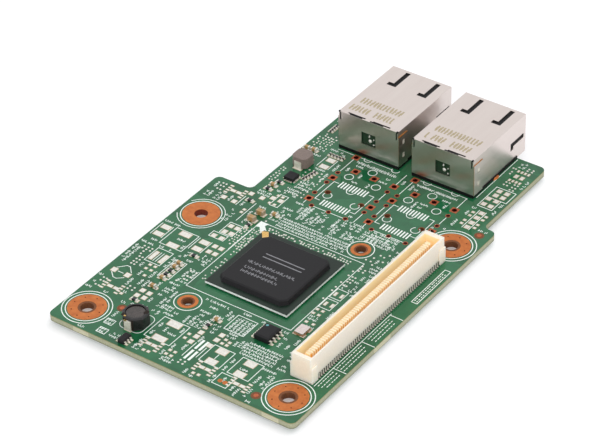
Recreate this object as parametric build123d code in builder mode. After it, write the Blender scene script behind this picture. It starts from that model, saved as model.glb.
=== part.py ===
from build123d import *
import os

os.makedirs("parts", exist_ok=True)

# All sizes are in millimetres. Places on the board are measured from its left and front edges.
# Thin copper rounds and small drilled holes are many-sided, which keeps their facets few.

# Circuit board
board_width = 68.2
board_length = 110.2
board_thick = 1.6
board_corner_radius = 1.5
neck_left = 10.0
neck_right = 64.6
left_step = 64.2
right_step = 81.8
copper_thick = 0.05
copper_sides = 18
small_sides = 12
drill_sides = 6

# Mounting holes and their bare copper pads
mount_left = 6.0
mount_right_margin = 6.1
mount_front = 6.85
mount_left_rear = 49.55
mount_right_rear = 71.75
mount_hole_radius = 1.65
mount_pad_radius = 4.62
mount_bare_radius = 2.18

# Controller chip, a ball grid package
chip_x = 34.62
chip_front_room = 13.4
chip_size = 23.0
chip_standoff = 0.4
chip_substrate_thick = 0.56
chip_cap_size = 19.5
chip_cap_thick = 1.2
chip_cap_taper = 24.0
chip_cap_corner = 1.6
chip_cap_edge = 0.25
ball_pitch = 1.27
ball_count = 17
ball_radius = 0.36
ball_sides = 4

# Heat sink holes on a diagonal through the chip's middle
sink_offset_x = 10.83
sink_offset_y = 18.87
sink_hole_radius = 1.32
sink_ring_radius = 2.45
sink_bare_radius = 1.66

# Copper reference dots for the assembly machine
fiducial_front = (12.27, 3.42)
fiducial_rear = (2.8, 3.2)
fiducial_left = (12.8, 11.0)
fiducial_radius = 0.58

# Two unpopulated sockets in front of the jacks, each a pattern of square pads with holes, and peg holes
spare_left = 23.7
spare_pitch = 17.15
spare_room = 23.5
spare_pads = ((0, 22.1), (3.2, 17.15), (8.65, 17.15), (14.4, 17.15), (0, 12.1), (14.4, 7.1), (0, 2.15))
spare_pegs = ((2.4, 6.6), (12.0, 6.6))
spare_pad_size = 1.9
spare_pad_hole_radius = 0.55
spare_peg_radius = 0.7

# Mezzanine connector, two rows of contacts on a tongue inside a tall wall
mezz_margin = 7.05
mezz_y = 39.6
contact_pitch = 0.8
contact_count = 60
contact_width = 0.38
contact_thick = 0.2
mezz_wall = 0.5
mezz_end_wall = 1.2
mezz_end_gap = 1.3
mezz_width = 5.1
mezz_height = 6.7
mezz_lift = 1.2
mezz_floor = 1.2
mezz_foot_width = 5.9
mezz_foot_length = 2.2
mezz_foot_height = 4.1
mezz_lead_in = 0.2
tongue_width = 1.2
tongue_top = 5.8
tongue_margin = 0.26
contact_slot = 0.3
contact_top_gap = 0.1
tail_reach = 3.35

# Network jacks, standing past the rear edge of the board
jack_width = 17.16
jack_depth = 23.7
jack_height = 10.95
jack_overhang = 3.6
jack_pitch = 21.35
jack_pair_x = 37.05
sheet = 0.25
sheet_gap = 0.05
fold_bevel = 0.1
shield_lift = 0.1
rear_lift = 0.7
rear_window_width = 4.1
rear_window_height = 3.5
rear_window_bottom = 3.75
relief_length = 5.0
relief_width = 0.45
relief_offset = 3.6
seam_width = 0.35
seam_height = 2.2
finger_slot_width = 1.25
finger_front_margin = 0.9
finger_slot_length = 6.3
finger_hook = 2.0
finger_places = (-3.4, 5.4)
side_slot_height = 5.25
side_slot_length = 5.3
side_slot_drop = 1.5
rear_tab_length = 3.95
rear_tab_bottom = 0.7
rear_tab_top = 9.3
rear_tab_thick = 0.2
rear_tab_hole_width = 0.9
rear_tab_hole_height = 1.3
rear_tab_hole_at = 2.15
rear_tab_hole_heights = (3.3, 7.1)
mouth_side = 0.5
mouth_top = 0.75
mouth_bottom = 0.9
post_at = 10.25
post_width = 1.3
post_drop = 1.0
post_slack = 0.2

# Plastic housing inside each jack, its port, springs, indicator lenses and pins
housing_lift = 0.6
inner_board_gap = 0.15
inner_board_thick = 0.8
inner_board_side = 1.08
inner_board_bottom = 0.75
inner_board_top = 9.6
port_width = 11.8
port_floor = 1.4
port_height = 6.9
port_depth = 13.5
latch_width = 6.2
latch_height = 0.9
latch_tip_width = 3.6
latch_tip_height = 0.75
spring_count = 8
spring_pitch = 1.02
spring_width = 0.45
spring_thick = 0.3
spring_front_margin = 1.8
spring_length = 8.8
spring_rise = 1.7
lens_width = 1.7
lens_height = 2.3
lens_length = 6.0
lens_bottom = 7.7
lens_margin = 0.35
lens_slack = 0.05
foot_size = 1.6
foot_inset = 1.5
foot_front = 16.5
peg_radius = 1.15
peg_spread = 5.7
peg_at = 12.6
peg_drop = 0.8
peg_slack = 0.06
pin_size = 0.5
pin_pitch = 2.54
pin_per_row = 4
pin_stagger = 0.635
pin_front_row = 6.6
pin_hole_radius = 0.45
tail_drop = 1.3

# Power inductor, a drum core in an octagonal ferrite shell
drum_x = 18.9
drum_y = 8.6
drum_size = 6.0
drum_corner = 1.75
drum_height = 3.4
drum_floor = 0.5
drum_wall = 0.65
drum_core_gap = 0.12
drum_core_drop = 0.25
drum_edge = 0.3
drum_clip_width = 1.9
drum_clip_thick = 0.25
drum_clip_height = 2.7
drum_clip_foot = 1.0

# Moulded inductor
block_x = 14.4
block_from_rear = 30.7
block_size = 4.4
block_corner = 0.9
block_height = 3.0
block_edge = 0.15
block_clip_width = 2.0
block_clip_height = 2.0
block_clip_thick = 0.2
block_clip_foot = 0.8

# Memory chip with eight gull wing leads
memory_x = 46.1
memory_from_chip = 18.8
memory_width = 3.9
memory_length = 4.9
memory_height = 1.6
memory_lift = 0.15
memory_bevel = 0.45
memory_lead_pitch = 1.27
memory_lead_count = 4
memory_lead_width = 0.42
memory_lead_thick = 0.2
memory_lead_reach = 1.05

# Regulator chip with six gull wing leads
regulator_x = 20.5
regulator_y = 2.3
regulator_width = 1.6
regulator_length = 2.9
regulator_height = 1.15
regulator_lift = 0.1
regulator_bevel = 0.2
regulator_lead_pitch = 0.95
regulator_lead_count = 3
regulator_lead_width = 0.4
regulator_lead_thick = 0.15
regulator_lead_reach = 0.65

# Driver chip without leads
driver_x = 15.5
driver_from_rear = 37.1
driver_size = 2.7
driver_height = 0.9
driver_land = 0.05
driver_land_width = 0.3
driver_land_length = 0.4
driver_land_pitch = 0.5
driver_land_count = 3

# Crystal
crystal_x = 51.6
crystal_y = 26.8
crystal_width = 2.5
crystal_length = 3.2
crystal_base_height = 0.45
crystal_lid_height = 0.3
crystal_lid_inset = 0.06
crystal_corner = 0.15

# Chip capacitors and resistors: length, width, height and length of each metal end, then places and turns.
# The first places are measured back from the rear edge, the rest from the front edge.
large_capacitor = (2.0, 1.25, 1.2, 0.42)
large_capacitor_rear = ((17.5, 56.1, 0), (17.9, 53.0, 0))
small_capacitor = (1.6, 0.8, 0.8, 0.32)
small_capacitor_rear = ((21.0, 51.6, 0), (13.6, 42.0, 0), (11.35, 24.8, 0), (13.35, 24.7, 0))
small_capacitor_front = ((13.75, 21.1, 0), (13.65, 24.7, 0), (13.65, 29.5, 0), (13.65, 31.1, 0))
small_capacitor_by_memory = (33.4, 1.8, 0)
resistor = (1.6, 0.8, 0.45, 0.28)
resistor_rear = ((12.6, 50.1, 0), (13.4, 43.8, 0), (14.2, 40.2, 0), (18.1, 58.4, 90))
resistor_front = ((13.65, 26.3, 0), (13.65, 27.9, 0), (13.3, 14.9, 0), (14.7, 35.4, 0))
resistor_by_memory = (32.8, 4.6, 90)
tiny_resistor = (1.0, 0.5, 0.35, 0.2)
tiny_resistor_rear = (
    (17.6, 24.0, 90), (18.55, 24.0, 90), (19.5, 24.0, 90), (20.45, 24.0, 90), (21.4, 24.0, 90),
    (18.2, 35.8, 0), (18.4, 34.9, 0), (18.6, 34.0, 0), (18.8, 33.1, 0), (19.0, 32.2, 0),
    (12.2, 15.8, 0), (12.2, 14.9, 0), (12.2, 14.0, 0), (12.2, 13.1, 0),
)
end_proud = 0.03

# The origin is under the middle of the whole card, at its lowest point
card_length = board_length + jack_overhang
top = Plane((-board_width / 2, -card_length / 2, tail_drop + board_thick))
underside = top.offset(-board_thick)

# Values that several pieces share: the jacks stand at the rear edge, the spare sockets in front of them, and
# the chip midway between those and the front row of parts
jack_rear = card_length - jack_depth
spare_front = jack_rear - spare_room
chip_y = (chip_front_room + spare_front) / 2
memory_y = chip_y - memory_from_chip
mezz_x = board_width - mezz_margin
mount_right = board_width - mount_right_margin
mounting_holes = (
    (mount_left, mount_front),
    (mount_left, mount_left_rear),
    (mount_right, mount_front),
    (mount_right, mount_right_rear),
)
plated_hole = mounting_holes[1]
bare_holes = (mounting_holes[0], mounting_holes[2], mounting_holes[3])
sink_holes = (
    (chip_x - sink_offset_x, chip_y - sink_offset_y),
    (chip_x + sink_offset_x, chip_y + sink_offset_y),
)
fiducial_places = (
    (board_width - fiducial_front[0], fiducial_front[1]),
    (board_width - fiducial_rear[0], right_step - fiducial_rear[1]),
    fiducial_left,
)
jack_places = (
    ("left", jack_pair_x - jack_pitch / 2),
    ("right", jack_pair_x + jack_pitch / 2),
)
post_spread = jack_width / 2 - sheet / 2
pin_rows = ((-pin_stagger, pin_front_row - pin_pitch), (pin_stagger, pin_front_row))
spare_corners = ((spare_left, spare_front), (spare_left + spare_pitch, spare_front))


def save(piece, name):
    piece.part.label = name
    export_step(piece.part, f"parts/{name}.step")


def spare_points(points):
    return [(left + x, front + y) for left, front in spare_corners for x, y in points]


# Circuit board
with BuildPart() as circuit_board:
    with BuildSketch(underside) as outline:
        with BuildLine():
            Polyline(
                (0, 0),
                (board_width, 0),
                (board_width, right_step),
                (neck_right, right_step),
                (neck_right, board_length),
                (neck_left, board_length),
                (neck_left, left_step),
                (0, left_step),
                close=True,
            )
        make_face()
        fillet(outline.vertices(), radius=board_corner_radius)
        with Locations(*mounting_holes):
            Circle(mount_hole_radius, mode=Mode.SUBTRACT)
        with Locations(*sink_holes):
            Circle(sink_hole_radius, mode=Mode.SUBTRACT)
        with Locations(*spare_points(spare_pads)):
            RegularPolygon(spare_pad_hole_radius, drill_sides, mode=Mode.SUBTRACT)
        with Locations(*spare_points(spare_pegs)):
            RegularPolygon(spare_peg_radius, small_sides, mode=Mode.SUBTRACT)
        for side, jack_x in jack_places:
            with Locations((jack_x, jack_rear + post_at)):
                with GridLocations(2 * post_spread, 0, 2, 1):
                    Rectangle(sheet + 2 * post_slack, post_width + 2 * post_slack, mode=Mode.SUBTRACT)
            with Locations((jack_x, jack_rear + peg_at)):
                with GridLocations(2 * peg_spread, 0, 2, 1):
                    RegularPolygon(peg_radius + peg_slack, small_sides, mode=Mode.SUBTRACT)
            for shift, row in pin_rows:
                with Locations((jack_x + shift, jack_rear + row)):
                    with GridLocations(pin_pitch, 0, pin_per_row, 1):
                        RegularPolygon(pin_hole_radius, drill_sides, mode=Mode.SUBTRACT)
    extrude(amount=board_thick)
save(circuit_board, "circuit_board")

# Bare copper round the mounting holes, which starts at the edge of the plated hole alone
with BuildPart() as mounting_pads:
    with BuildSketch(top):
        with Locations(*mounting_holes):
            RegularPolygon(mount_pad_radius, copper_sides)
        with Locations(*bare_holes):
            RegularPolygon(mount_bare_radius, copper_sides, mode=Mode.SUBTRACT)
        with Locations(plated_hole):
            RegularPolygon(mount_hole_radius, copper_sides, major_radius=False, mode=Mode.SUBTRACT)
    extrude(amount=copper_thick)
save(mounting_pads, "mounting_pads")

# Copper rings round the heat sink holes
with BuildPart() as heat_sink_rings:
    with BuildSketch(top):
        with Locations(*sink_holes):
            RegularPolygon(sink_ring_radius, copper_sides)
            RegularPolygon(sink_bare_radius, copper_sides, mode=Mode.SUBTRACT)
    extrude(amount=copper_thick)
save(heat_sink_rings, "heat_sink_rings")

# Reference dots
with BuildPart() as fiducial_dots:
    with BuildSketch(top):
        with Locations(*fiducial_places):
            RegularPolygon(fiducial_radius, small_sides)
    extrude(amount=copper_thick)
save(fiducial_dots, "fiducial_dots")

# Square pads of the unpopulated sockets
with BuildPart() as spare_socket_pads:
    with BuildSketch(top):
        with Locations(*spare_points(spare_pads)):
            Rectangle(spare_pad_size, spare_pad_size)
            RegularPolygon(spare_pad_hole_radius, drill_sides, mode=Mode.SUBTRACT)
    extrude(amount=copper_thick)
save(spare_socket_pads, "spare_socket_pads")

# Controller chip: solder balls of the outer row, substrate and moulded cap with drafted sides
chip_seat = Plane(top.from_local_coords((chip_x, chip_y, 0)))
ball_span = (ball_count - 1) * ball_pitch
with BuildPart() as controller_balls:
    with BuildSketch(chip_seat):
        with GridLocations(0, ball_span, 1, 2):
            with GridLocations(ball_pitch, 0, ball_count, 1):
                RegularPolygon(ball_radius, ball_sides)
        with GridLocations(ball_span, 0, 2, 1):
            with GridLocations(0, ball_pitch, 1, ball_count - 2):
                RegularPolygon(ball_radius, ball_sides)
    extrude(amount=chip_standoff)
save(controller_balls, "controller_balls")

with BuildPart() as controller_substrate:
    with BuildSketch(chip_seat.offset(chip_standoff)):
        Rectangle(chip_size, chip_size)
    extrude(amount=chip_substrate_thick)
save(controller_substrate, "controller_substrate")

with BuildPart() as controller_cap:
    with BuildSketch(chip_seat.offset(chip_standoff + chip_substrate_thick)) as cap_outline:
        Rectangle(chip_cap_size, chip_cap_size)
        chamfer(cap_outline.vertices(), length=chip_cap_corner)
    extrude(amount=chip_cap_thick, taper=chip_cap_taper)
    chamfer(controller_cap.faces().sort_by(Axis.Z)[-1].edges(), length=chip_cap_edge)
save(controller_cap, "controller_cap")

# Mezzanine connector housing: tall wall round a tongue with a contact slot on each side, on two feet
mezz_seat = Plane(top.from_local_coords((mezz_x, mezz_y, 0)))
contact_span = (contact_count - 1) * contact_pitch
tongue_length = contact_span + contact_width + 2 * tongue_margin
mezz_length = tongue_length + 2 * (mezz_end_gap + mezz_end_wall)
cavity_bottom = mezz_lift + mezz_floor
contact_top = tongue_top - contact_top_gap
with BuildPart() as mezzanine_housing:
    with BuildSketch(mezz_seat.offset(mezz_lift)):
        Rectangle(mezz_width, mezz_length)
    extrude(amount=mezz_height - mezz_lift)
    with BuildSketch(mezz_seat.offset(cavity_bottom)):
        Rectangle(mezz_width - 2 * mezz_wall, mezz_length - 2 * mezz_end_wall)
    extrude(amount=mezz_height - cavity_bottom, mode=Mode.SUBTRACT)
    rim = mezzanine_housing.faces().sort_by(Axis.Z)[-1]
    chamfer(rim.inner_wires()[0].edges(), length=mezz_lead_in)
    with BuildSketch(mezz_seat.offset(cavity_bottom)):
        Rectangle(tongue_width, tongue_length)
    extrude(amount=tongue_top - cavity_bottom)
    with BuildSketch(mezz_seat):
        with GridLocations(0, mezz_length - mezz_foot_length, 1, 2):
            Rectangle(mezz_foot_width, mezz_foot_length)
    extrude(amount=mezz_foot_height)
    with BuildSketch(mezz_seat.offset(cavity_bottom)):
        Rectangle(mezz_width - 2 * mezz_wall, mezz_length - 2 * mezz_end_wall)
        Rectangle(tongue_width, tongue_length, mode=Mode.SUBTRACT)
    extrude(amount=mezz_foot_height - cavity_bottom, mode=Mode.SUBTRACT)
    with BuildSketch(mezz_seat.offset(mezz_lift)):
        with GridLocations(tongue_width + contact_slot, 0, 2, 1):
            Rectangle(contact_slot, tongue_length)
    extrude(amount=mezz_floor, mode=Mode.SUBTRACT)
save(mezzanine_housing, "mezzanine_housing")

# Mezzanine contacts: blade up the side of the tongue, tail out along the board under the wall
blade_inner = tongue_width / 2
blade_outer = blade_inner + contact_thick
for side, hand in (("left", -1), ("right", 1)):
    with BuildPart() as contact:
        with BuildSketch(Plane(mezz_seat.origin, x_dir=(1, 0, 0), z_dir=(0, -1, 0))):
            with BuildLine():
                Polyline(
                    (hand * blade_inner, 0),
                    (hand * tail_reach, 0),
                    (hand * tail_reach, contact_thick),
                    (hand * blade_outer, contact_thick),
                    (hand * blade_outer, contact_top),
                    (hand * blade_inner, contact_top),
                    close=True,
                )
            make_face()
        extrude(amount=contact_width / 2, both=True)
    with BuildPart() as contacts:
        with GridLocations(0, contact_pitch, 1, contact_count):
            add(contact.part)
    save(contacts, f"mezzanine_contacts_{side}")

# Network jacks
for side, jack_x in jack_places:
    seat = Plane(top.from_local_coords((jack_x, jack_rear, 0)))
    rear_face = Plane(seat.origin, x_dir=(1, 0, 0), z_dir=(0, -1, 0))
    port_face = Plane(seat.from_local_coords((0, jack_depth, 0)), x_dir=(-1, 0, 0), z_dir=(0, 1, 0))

    # Shield: a folded box, open below, with a framed mouth, a rear window and slots that free its fingers
    with BuildPart() as shield:
        with BuildSketch(seat.offset(shield_lift)):
            with Locations((0, jack_depth / 2)):
                Rectangle(jack_width, jack_depth)
        extrude(amount=jack_height - shield_lift)
        chamfer(shield.faces().sort_by(Axis.Z)[-1].edges(), length=fold_bevel)
        with BuildSketch(seat.offset(shield_lift)):
            with Locations((0, jack_depth / 2)):
                Rectangle(jack_width - 2 * sheet, jack_depth - 2 * sheet)
        extrude(amount=jack_height - shield_lift - sheet, mode=Mode.SUBTRACT)
        # Mouth in the front wall
        mouth_low = port_floor - mouth_bottom + shield_lift
        mouth_high = jack_height - mouth_top
        with BuildSketch(port_face):
            with Locations((0, (mouth_low + mouth_high) / 2)):
                Rectangle(jack_width - 2 * mouth_side, mouth_high - mouth_low)
        extrude(amount=-sheet, mode=Mode.SUBTRACT)
        # Rear wall: gap at its foot, window, and seams at its upper corners
        with BuildSketch(rear_face):
            with Locations((0, (shield_lift + rear_lift) / 2)):
                Rectangle(jack_width - 2 * sheet, rear_lift - shield_lift)
            with Locations((0, rear_window_bottom + rear_window_height / 2)):
                Rectangle(rear_window_width, rear_window_height)
            with Locations((0, jack_height - sheet - seam_height / 2)):
                with GridLocations(jack_width - 2 * sheet - seam_width, 0, 2, 1):
                    Rectangle(seam_width, seam_height)
        extrude(amount=-sheet, mode=Mode.SUBTRACT)
        # Top: relief slots at the rear fold, and hooked slots beside the spring fingers
        finger_front = jack_depth - finger_front_margin
        finger_back = finger_front - finger_slot_length
        with BuildSketch(seat.offset(jack_height)):
            with Locations((0, sheet + relief_width / 2)):
                with GridLocations(2 * relief_offset, 0, 2, 1):
                    Rectangle(relief_length, relief_width)
            for finger_x in finger_places:
                with BuildLine():
                    Polyline(
                        (finger_x, finger_front),
                        (finger_x, finger_back),
                        (finger_x - finger_hook, finger_back),
                    )
                trace(line_width=finger_slot_width)
        extrude(amount=-sheet, mode=Mode.SUBTRACT)
        for hand in (-1, 1):
            side_origin = seat.from_local_coords((hand * jack_width / 2, 0, 0))
            side_face = Plane(side_origin, x_dir=(0, hand, 0), z_dir=(hand, 0, 0))
            # Hooked slot beside the side finger
            side_back = finger_front - side_slot_length
            with BuildSketch(side_face):
                with BuildLine():
                    Polyline(
                        (hand * finger_front, side_slot_height),
                        (hand * side_back, side_slot_height),
                        (hand * side_back, side_slot_height - side_slot_drop),
                    )
                trace(line_width=finger_slot_width)
            extrude(amount=-sheet, mode=Mode.SUBTRACT)
            # Tab of the rear wall folded onto the side, with two latch holes
            with BuildSketch(side_face):
                with Locations((hand * rear_tab_length / 2, (rear_tab_bottom + rear_tab_top) / 2)):
                    Rectangle(rear_tab_length, rear_tab_top - rear_tab_bottom)
                with Locations(*[(hand * rear_tab_hole_at, height) for height in rear_tab_hole_heights]):
                    Rectangle(rear_tab_hole_width, rear_tab_hole_height, mode=Mode.SUBTRACT)
            extrude(amount=rear_tab_thick)
            # Solder post through the board
            with BuildSketch(side_face):
                with Locations((hand * post_at, (shield_lift - board_thick - post_drop) / 2)):
                    Rectangle(post_width, shield_lift + board_thick + post_drop)
            extrude(amount=-sheet)
    save(shield, f"{side}_jack_shield")

    # Small green board behind the rear window
    inner_board_rear = sheet + inner_board_gap
    inner_board_width = jack_width - 2 * (sheet + inner_board_side)
    housing_rear = inner_board_rear + inner_board_thick
    with BuildPart() as inner_board:
        with BuildSketch(seat.offset(inner_board_bottom)):
            with Locations((0, inner_board_rear + inner_board_thick / 2)):
                Rectangle(inner_board_width, inner_board_thick)
        extrude(amount=inner_board_top - inner_board_bottom)
    save(inner_board, f"{side}_jack_inner_board")

    # Housing: port with a stepped latch slot, pockets for the lenses, feet and locating pegs
    housing_front = jack_depth - sheet - sheet_gap
    housing_width = jack_width - 2 * (sheet + sheet_gap)
    housing_top = jack_height - sheet - sheet_gap
    housing_face = Plane(
        seat.from_local_coords((0, housing_front, 0)), x_dir=(-1, 0, 0), z_dir=(0, 1, 0)
    )
    lens_x = housing_width / 2 - lens_margin - lens_width / 2
    foot_x = housing_width / 2 - foot_inset
    foot_back = housing_rear + foot_inset
    with BuildPart() as housing:
        with BuildSketch(seat.offset(housing_lift)):
            with Locations((0, (housing_rear + housing_front) / 2)):
                Rectangle(housing_width, housing_front - housing_rear)
        extrude(amount=housing_top - housing_lift)
        with BuildSketch(housing_face):
            with Locations((0, port_floor)):
                Rectangle(port_width, port_height, align=(Align.CENTER, Align.MIN))
                Rectangle(latch_width, port_height + latch_height, align=(Align.CENTER, Align.MIN))
                Rectangle(
                    latch_tip_width,
                    port_height + latch_height + latch_tip_height,
                    align=(Align.CENTER, Align.MIN),
                )
        extrude(amount=-port_depth, mode=Mode.SUBTRACT)
        with BuildSketch(housing_face):
            with Locations((0, lens_bottom + lens_height / 2)):
                with GridLocations(2 * lens_x, 0, 2, 1):
                    Rectangle(lens_width + 2 * lens_slack, lens_height + 2 * lens_slack)
        extrude(amount=-lens_length, mode=Mode.SUBTRACT)
        with BuildSketch(seat):
            with Locations((0, (foot_back + foot_front) / 2)):
                with GridLocations(2 * foot_x, foot_front - foot_back, 2, 2):
                    Rectangle(foot_size, foot_size)
        extrude(amount=housing_lift)
        with BuildSketch(seat.offset(housing_lift)):
            with Locations((0, peg_at)):
                with GridLocations(2 * peg_spread, 0, 2, 1):
                    RegularPolygon(peg_radius, small_sides)
        extrude(amount=-(housing_lift + board_thick + peg_drop))
    save(housing, f"{side}_jack_housing")

    # Indicator lenses in the upper corners of the port face
    with BuildPart() as lenses:
        with BuildSketch(housing_face):
            with Locations((0, lens_bottom + lens_height / 2)):
                with GridLocations(2 * lens_x, 0, 2, 1):
                    Rectangle(lens_width, lens_height)
        extrude(amount=-lens_length)
    save(lenses, f"{side}_jack_lenses")

    # Springs: each slopes up from the port floor towards the back
    spring_front = housing_front - spring_front_margin
    spring_back = spring_front - spring_length
    with BuildPart() as spring:
        port_bottom = seat.from_local_coords((0, 0, port_floor))
        with BuildSketch(Plane(port_bottom, x_dir=(0, 1, 0), z_dir=(1, 0, 0))):
            with BuildLine():
                Polyline(
                    (spring_front, 0),
                    (spring_front, spring_thick),
                    (spring_back, spring_rise),
                    (spring_back, spring_rise - spring_thick),
                    close=True,
                )
            make_face()
        extrude(amount=spring_width / 2, both=True)
    with BuildPart() as springs:
        with GridLocations(spring_pitch, 0, spring_count, 1):
            add(spring.part)
    save(springs, f"{side}_jack_springs")

    # Pins in two staggered rows, from the housing's underside through the board
    with BuildPart() as pins:
        with BuildSketch(seat.offset(housing_lift)):
            for shift, row in pin_rows:
                with Locations((shift, row)):
                    with GridLocations(pin_pitch, 0, pin_per_row, 1):
                        Rectangle(pin_size, pin_size)
        extrude(amount=-(housing_lift + board_thick + tail_drop))
    save(pins, f"{side}_jack_pins")

# Power inductor: octagonal shell with a round well, drum core in the well, two bent clips
drum_seat = Plane(top.from_local_coords((drum_x, drum_y, 0)))
well_radius = drum_size / 2 - drum_wall
with BuildPart() as inductor_shell:
    with BuildSketch(drum_seat.offset(drum_clip_thick)) as octagon:
        Rectangle(drum_size, drum_size)
        chamfer(octagon.vertices(), length=drum_corner)
    extrude(amount=drum_height - drum_clip_thick)
    chamfer(inductor_shell.faces().sort_by(Axis.Z)[-1].edges(), length=drum_edge)
    with BuildSketch(drum_seat.offset(drum_clip_thick + drum_floor)):
        Circle(well_radius)
    extrude(amount=drum_height, mode=Mode.SUBTRACT)
save(inductor_shell, "inductor_shell")

with BuildPart() as inductor_core:
    with BuildSketch(drum_seat.offset(drum_clip_thick + drum_floor)):
        Circle(well_radius - drum_core_gap)
    extrude(amount=drum_height - drum_clip_thick - drum_floor - drum_core_drop)
save(inductor_core, "inductor_core")


# Two clips stand on opposite sides of a coil and fold in under it
def bent_clips(seat, half, thick, height, foot, width):
    with BuildPart() as clips:
        for end in (-1, 1):
            with BuildSketch(Plane(seat.origin, x_dir=(0, end, 0), z_dir=(end, 0, 0))):
                with BuildLine():
                    Polyline(
                        (half - foot, 0),
                        (half + thick, 0),
                        (half + thick, height),
                        (half, height),
                        (half, thick),
                        (half - foot, thick),
                        close=True,
                    )
                make_face()
            extrude(amount=width / 2, both=True)
    return clips


inductor_clips = bent_clips(
    drum_seat, drum_size / 2, drum_clip_thick, drum_clip_height, drum_clip_foot, drum_clip_width
)
save(inductor_clips, "inductor_clips")

# Moulded inductor: bevelled block on two bent clips
block_seat = Plane(top.from_local_coords((block_x, board_length - block_from_rear, 0)))
with BuildPart() as moulded_inductor:
    with BuildSketch(block_seat.offset(block_clip_thick)) as block_outline:
        Rectangle(block_size, block_size)
        chamfer(block_outline.vertices(), length=block_corner)
    extrude(amount=block_height - block_clip_thick)
    chamfer(moulded_inductor.faces().sort_by(Axis.Z)[-1].edges(), length=block_edge)
save(moulded_inductor, "moulded_inductor")

moulded_inductor_clips = bent_clips(
    block_seat, block_size / 2, block_clip_thick, block_clip_height, block_clip_foot, block_clip_width
)
save(moulded_inductor_clips, "moulded_inductor_clips")


# A moulded chip with gull wing leads along its two long sides
def gull_wing_chip(name, place, body, bevel, leads):
    width, length, lift, height = body
    pitch, count, lead_width, thick, reach = leads
    chip = Plane(top.from_local_coords((*place, 0)))
    middle = (lift + height) / 2
    with BuildPart() as chip_body:
        with BuildSketch(chip.offset(lift)):
            Rectangle(width, length)
        extrude(amount=height - lift)
        chamfer(chip_body.faces().sort_by(Axis.Z)[-1].edges(), length=bevel / 2, length2=bevel)
    save(chip_body, f"{name}_body")
    with BuildPart() as lead:
        with BuildSketch(Plane(chip.origin, x_dir=(1, 0, 0), z_dir=(0, -1, 0))):
            with BuildLine():
                Polyline(
                    (width / 2, middle - thick),
                    (width / 2 + reach / 3, middle - thick),
                    (width / 2 + reach / 3, 0),
                    (width / 2 + reach, 0),
                    (width / 2 + reach, thick),
                    (width / 2 + reach / 3 + thick, thick),
                    (width / 2 + reach / 3 + thick, middle),
                    (width / 2, middle),
                    close=True,
                )
            make_face()
        extrude(amount=lead_width / 2, both=True)
    with BuildPart() as chip_leads:
        with GridLocations(0, pitch, 1, count):
            add(lead.part)
        mirror(about=Plane(chip.origin, x_dir=(0, 1, 0), z_dir=(1, 0, 0)))
    save(chip_leads, f"{name}_leads")


gull_wing_chip(
    "memory_chip",
    (memory_x, memory_y),
    (memory_width, memory_length, memory_lift, memory_height),
    memory_bevel,
    (memory_lead_pitch, memory_lead_count, memory_lead_width, memory_lead_thick, memory_lead_reach),
)
gull_wing_chip(
    "regulator_chip",
    (regulator_x, regulator_y),
    (regulator_width, regulator_length, regulator_lift, regulator_height),
    regulator_bevel,
    (
        regulator_lead_pitch,
        regulator_lead_count,
        regulator_lead_width,
        regulator_lead_thick,
        regulator_lead_reach,
    ),
)

# Driver chip without leads, on a frame of small terminals
driver_seat = Plane(top.from_local_coords((driver_x, board_length - driver_from_rear, 0)))
with BuildPart() as driver_chip:
    with BuildSketch(driver_seat.offset(driver_land)):
        Rectangle(driver_size, driver_size)
    extrude(amount=driver_height - driver_land)
save(driver_chip, "driver_chip_body")

driver_land_span = driver_size - driver_land_length
with BuildPart() as driver_lands:
    with BuildSketch(driver_seat):
        with GridLocations(driver_land_span, driver_land_pitch, 2, driver_land_count):
            Rectangle(driver_land_length, driver_land_width)
        with GridLocations(driver_land_pitch, driver_land_span, driver_land_count, 2):
            Rectangle(driver_land_width, driver_land_length)
    extrude(amount=driver_land)
save(driver_lands, "driver_chip_lands")

# Crystal: ceramic base with a metal lid
crystal_seat = Plane(top.from_local_coords((crystal_x, crystal_y, 0)))
with BuildPart() as crystal_base:
    with BuildSketch(crystal_seat):
        Rectangle(crystal_width, crystal_length)
    extrude(amount=crystal_base_height)
save(crystal_base, "crystal_base")

with BuildPart() as crystal_lid:
    with BuildSketch(crystal_seat.offset(crystal_base_height)) as lid_outline:
        Rectangle(crystal_width - 2 * crystal_lid_inset, crystal_length - 2 * crystal_lid_inset)
        chamfer(lid_outline.vertices(), length=crystal_corner)
    extrude(amount=crystal_lid_height)
save(crystal_lid, "crystal_lid")


# Chip capacitors and resistors: a body between two metal ends that stand a little proud of it
def chip_set(name, size, places):
    length, width, height, end = size
    with BuildPart() as bodies:
        with BuildSketch(top.offset(end_proud)):
            for x, y, turn in places:
                with Locations(Location((x, y, 0), (0, 0, turn))):
                    Rectangle(length - 2 * end, width - 2 * end_proud)
        extrude(amount=height - 2 * end_proud)
    save(bodies, f"{name}_bodies")
    with BuildPart() as ends:
        with BuildSketch(top):
            for x, y, turn in places:
                with Locations(Location((x, y, 0), (0, 0, turn))):
                    with GridLocations(length - end, 0, 2, 1):
                        Rectangle(end, width)
        extrude(amount=height)
    save(ends, f"{name}_ends")


def from_rear(places):
    return [(x, board_length - back, turn) for x, back, turn in places]


def by_memory(place):
    x, before, turn = place
    return (x, memory_y - before, turn)


chip_set("large_capacitor", large_capacitor, from_rear(large_capacitor_rear))
chip_set(
    "small_capacitor",
    small_capacitor,
    [*from_rear(small_capacitor_rear), *small_capacitor_front, by_memory(small_capacitor_by_memory)],
)
chip_set(
    "resistor",
    resistor,
    [*from_rear(resistor_rear), *resistor_front, by_memory(resistor_by_memory)],
)
chip_set("tiny_resistor", tiny_resistor, from_rear(tiny_resistor_rear))
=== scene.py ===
import math
import random

import bmesh
import bpy
from mathutils import Matrix, Vector


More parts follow.
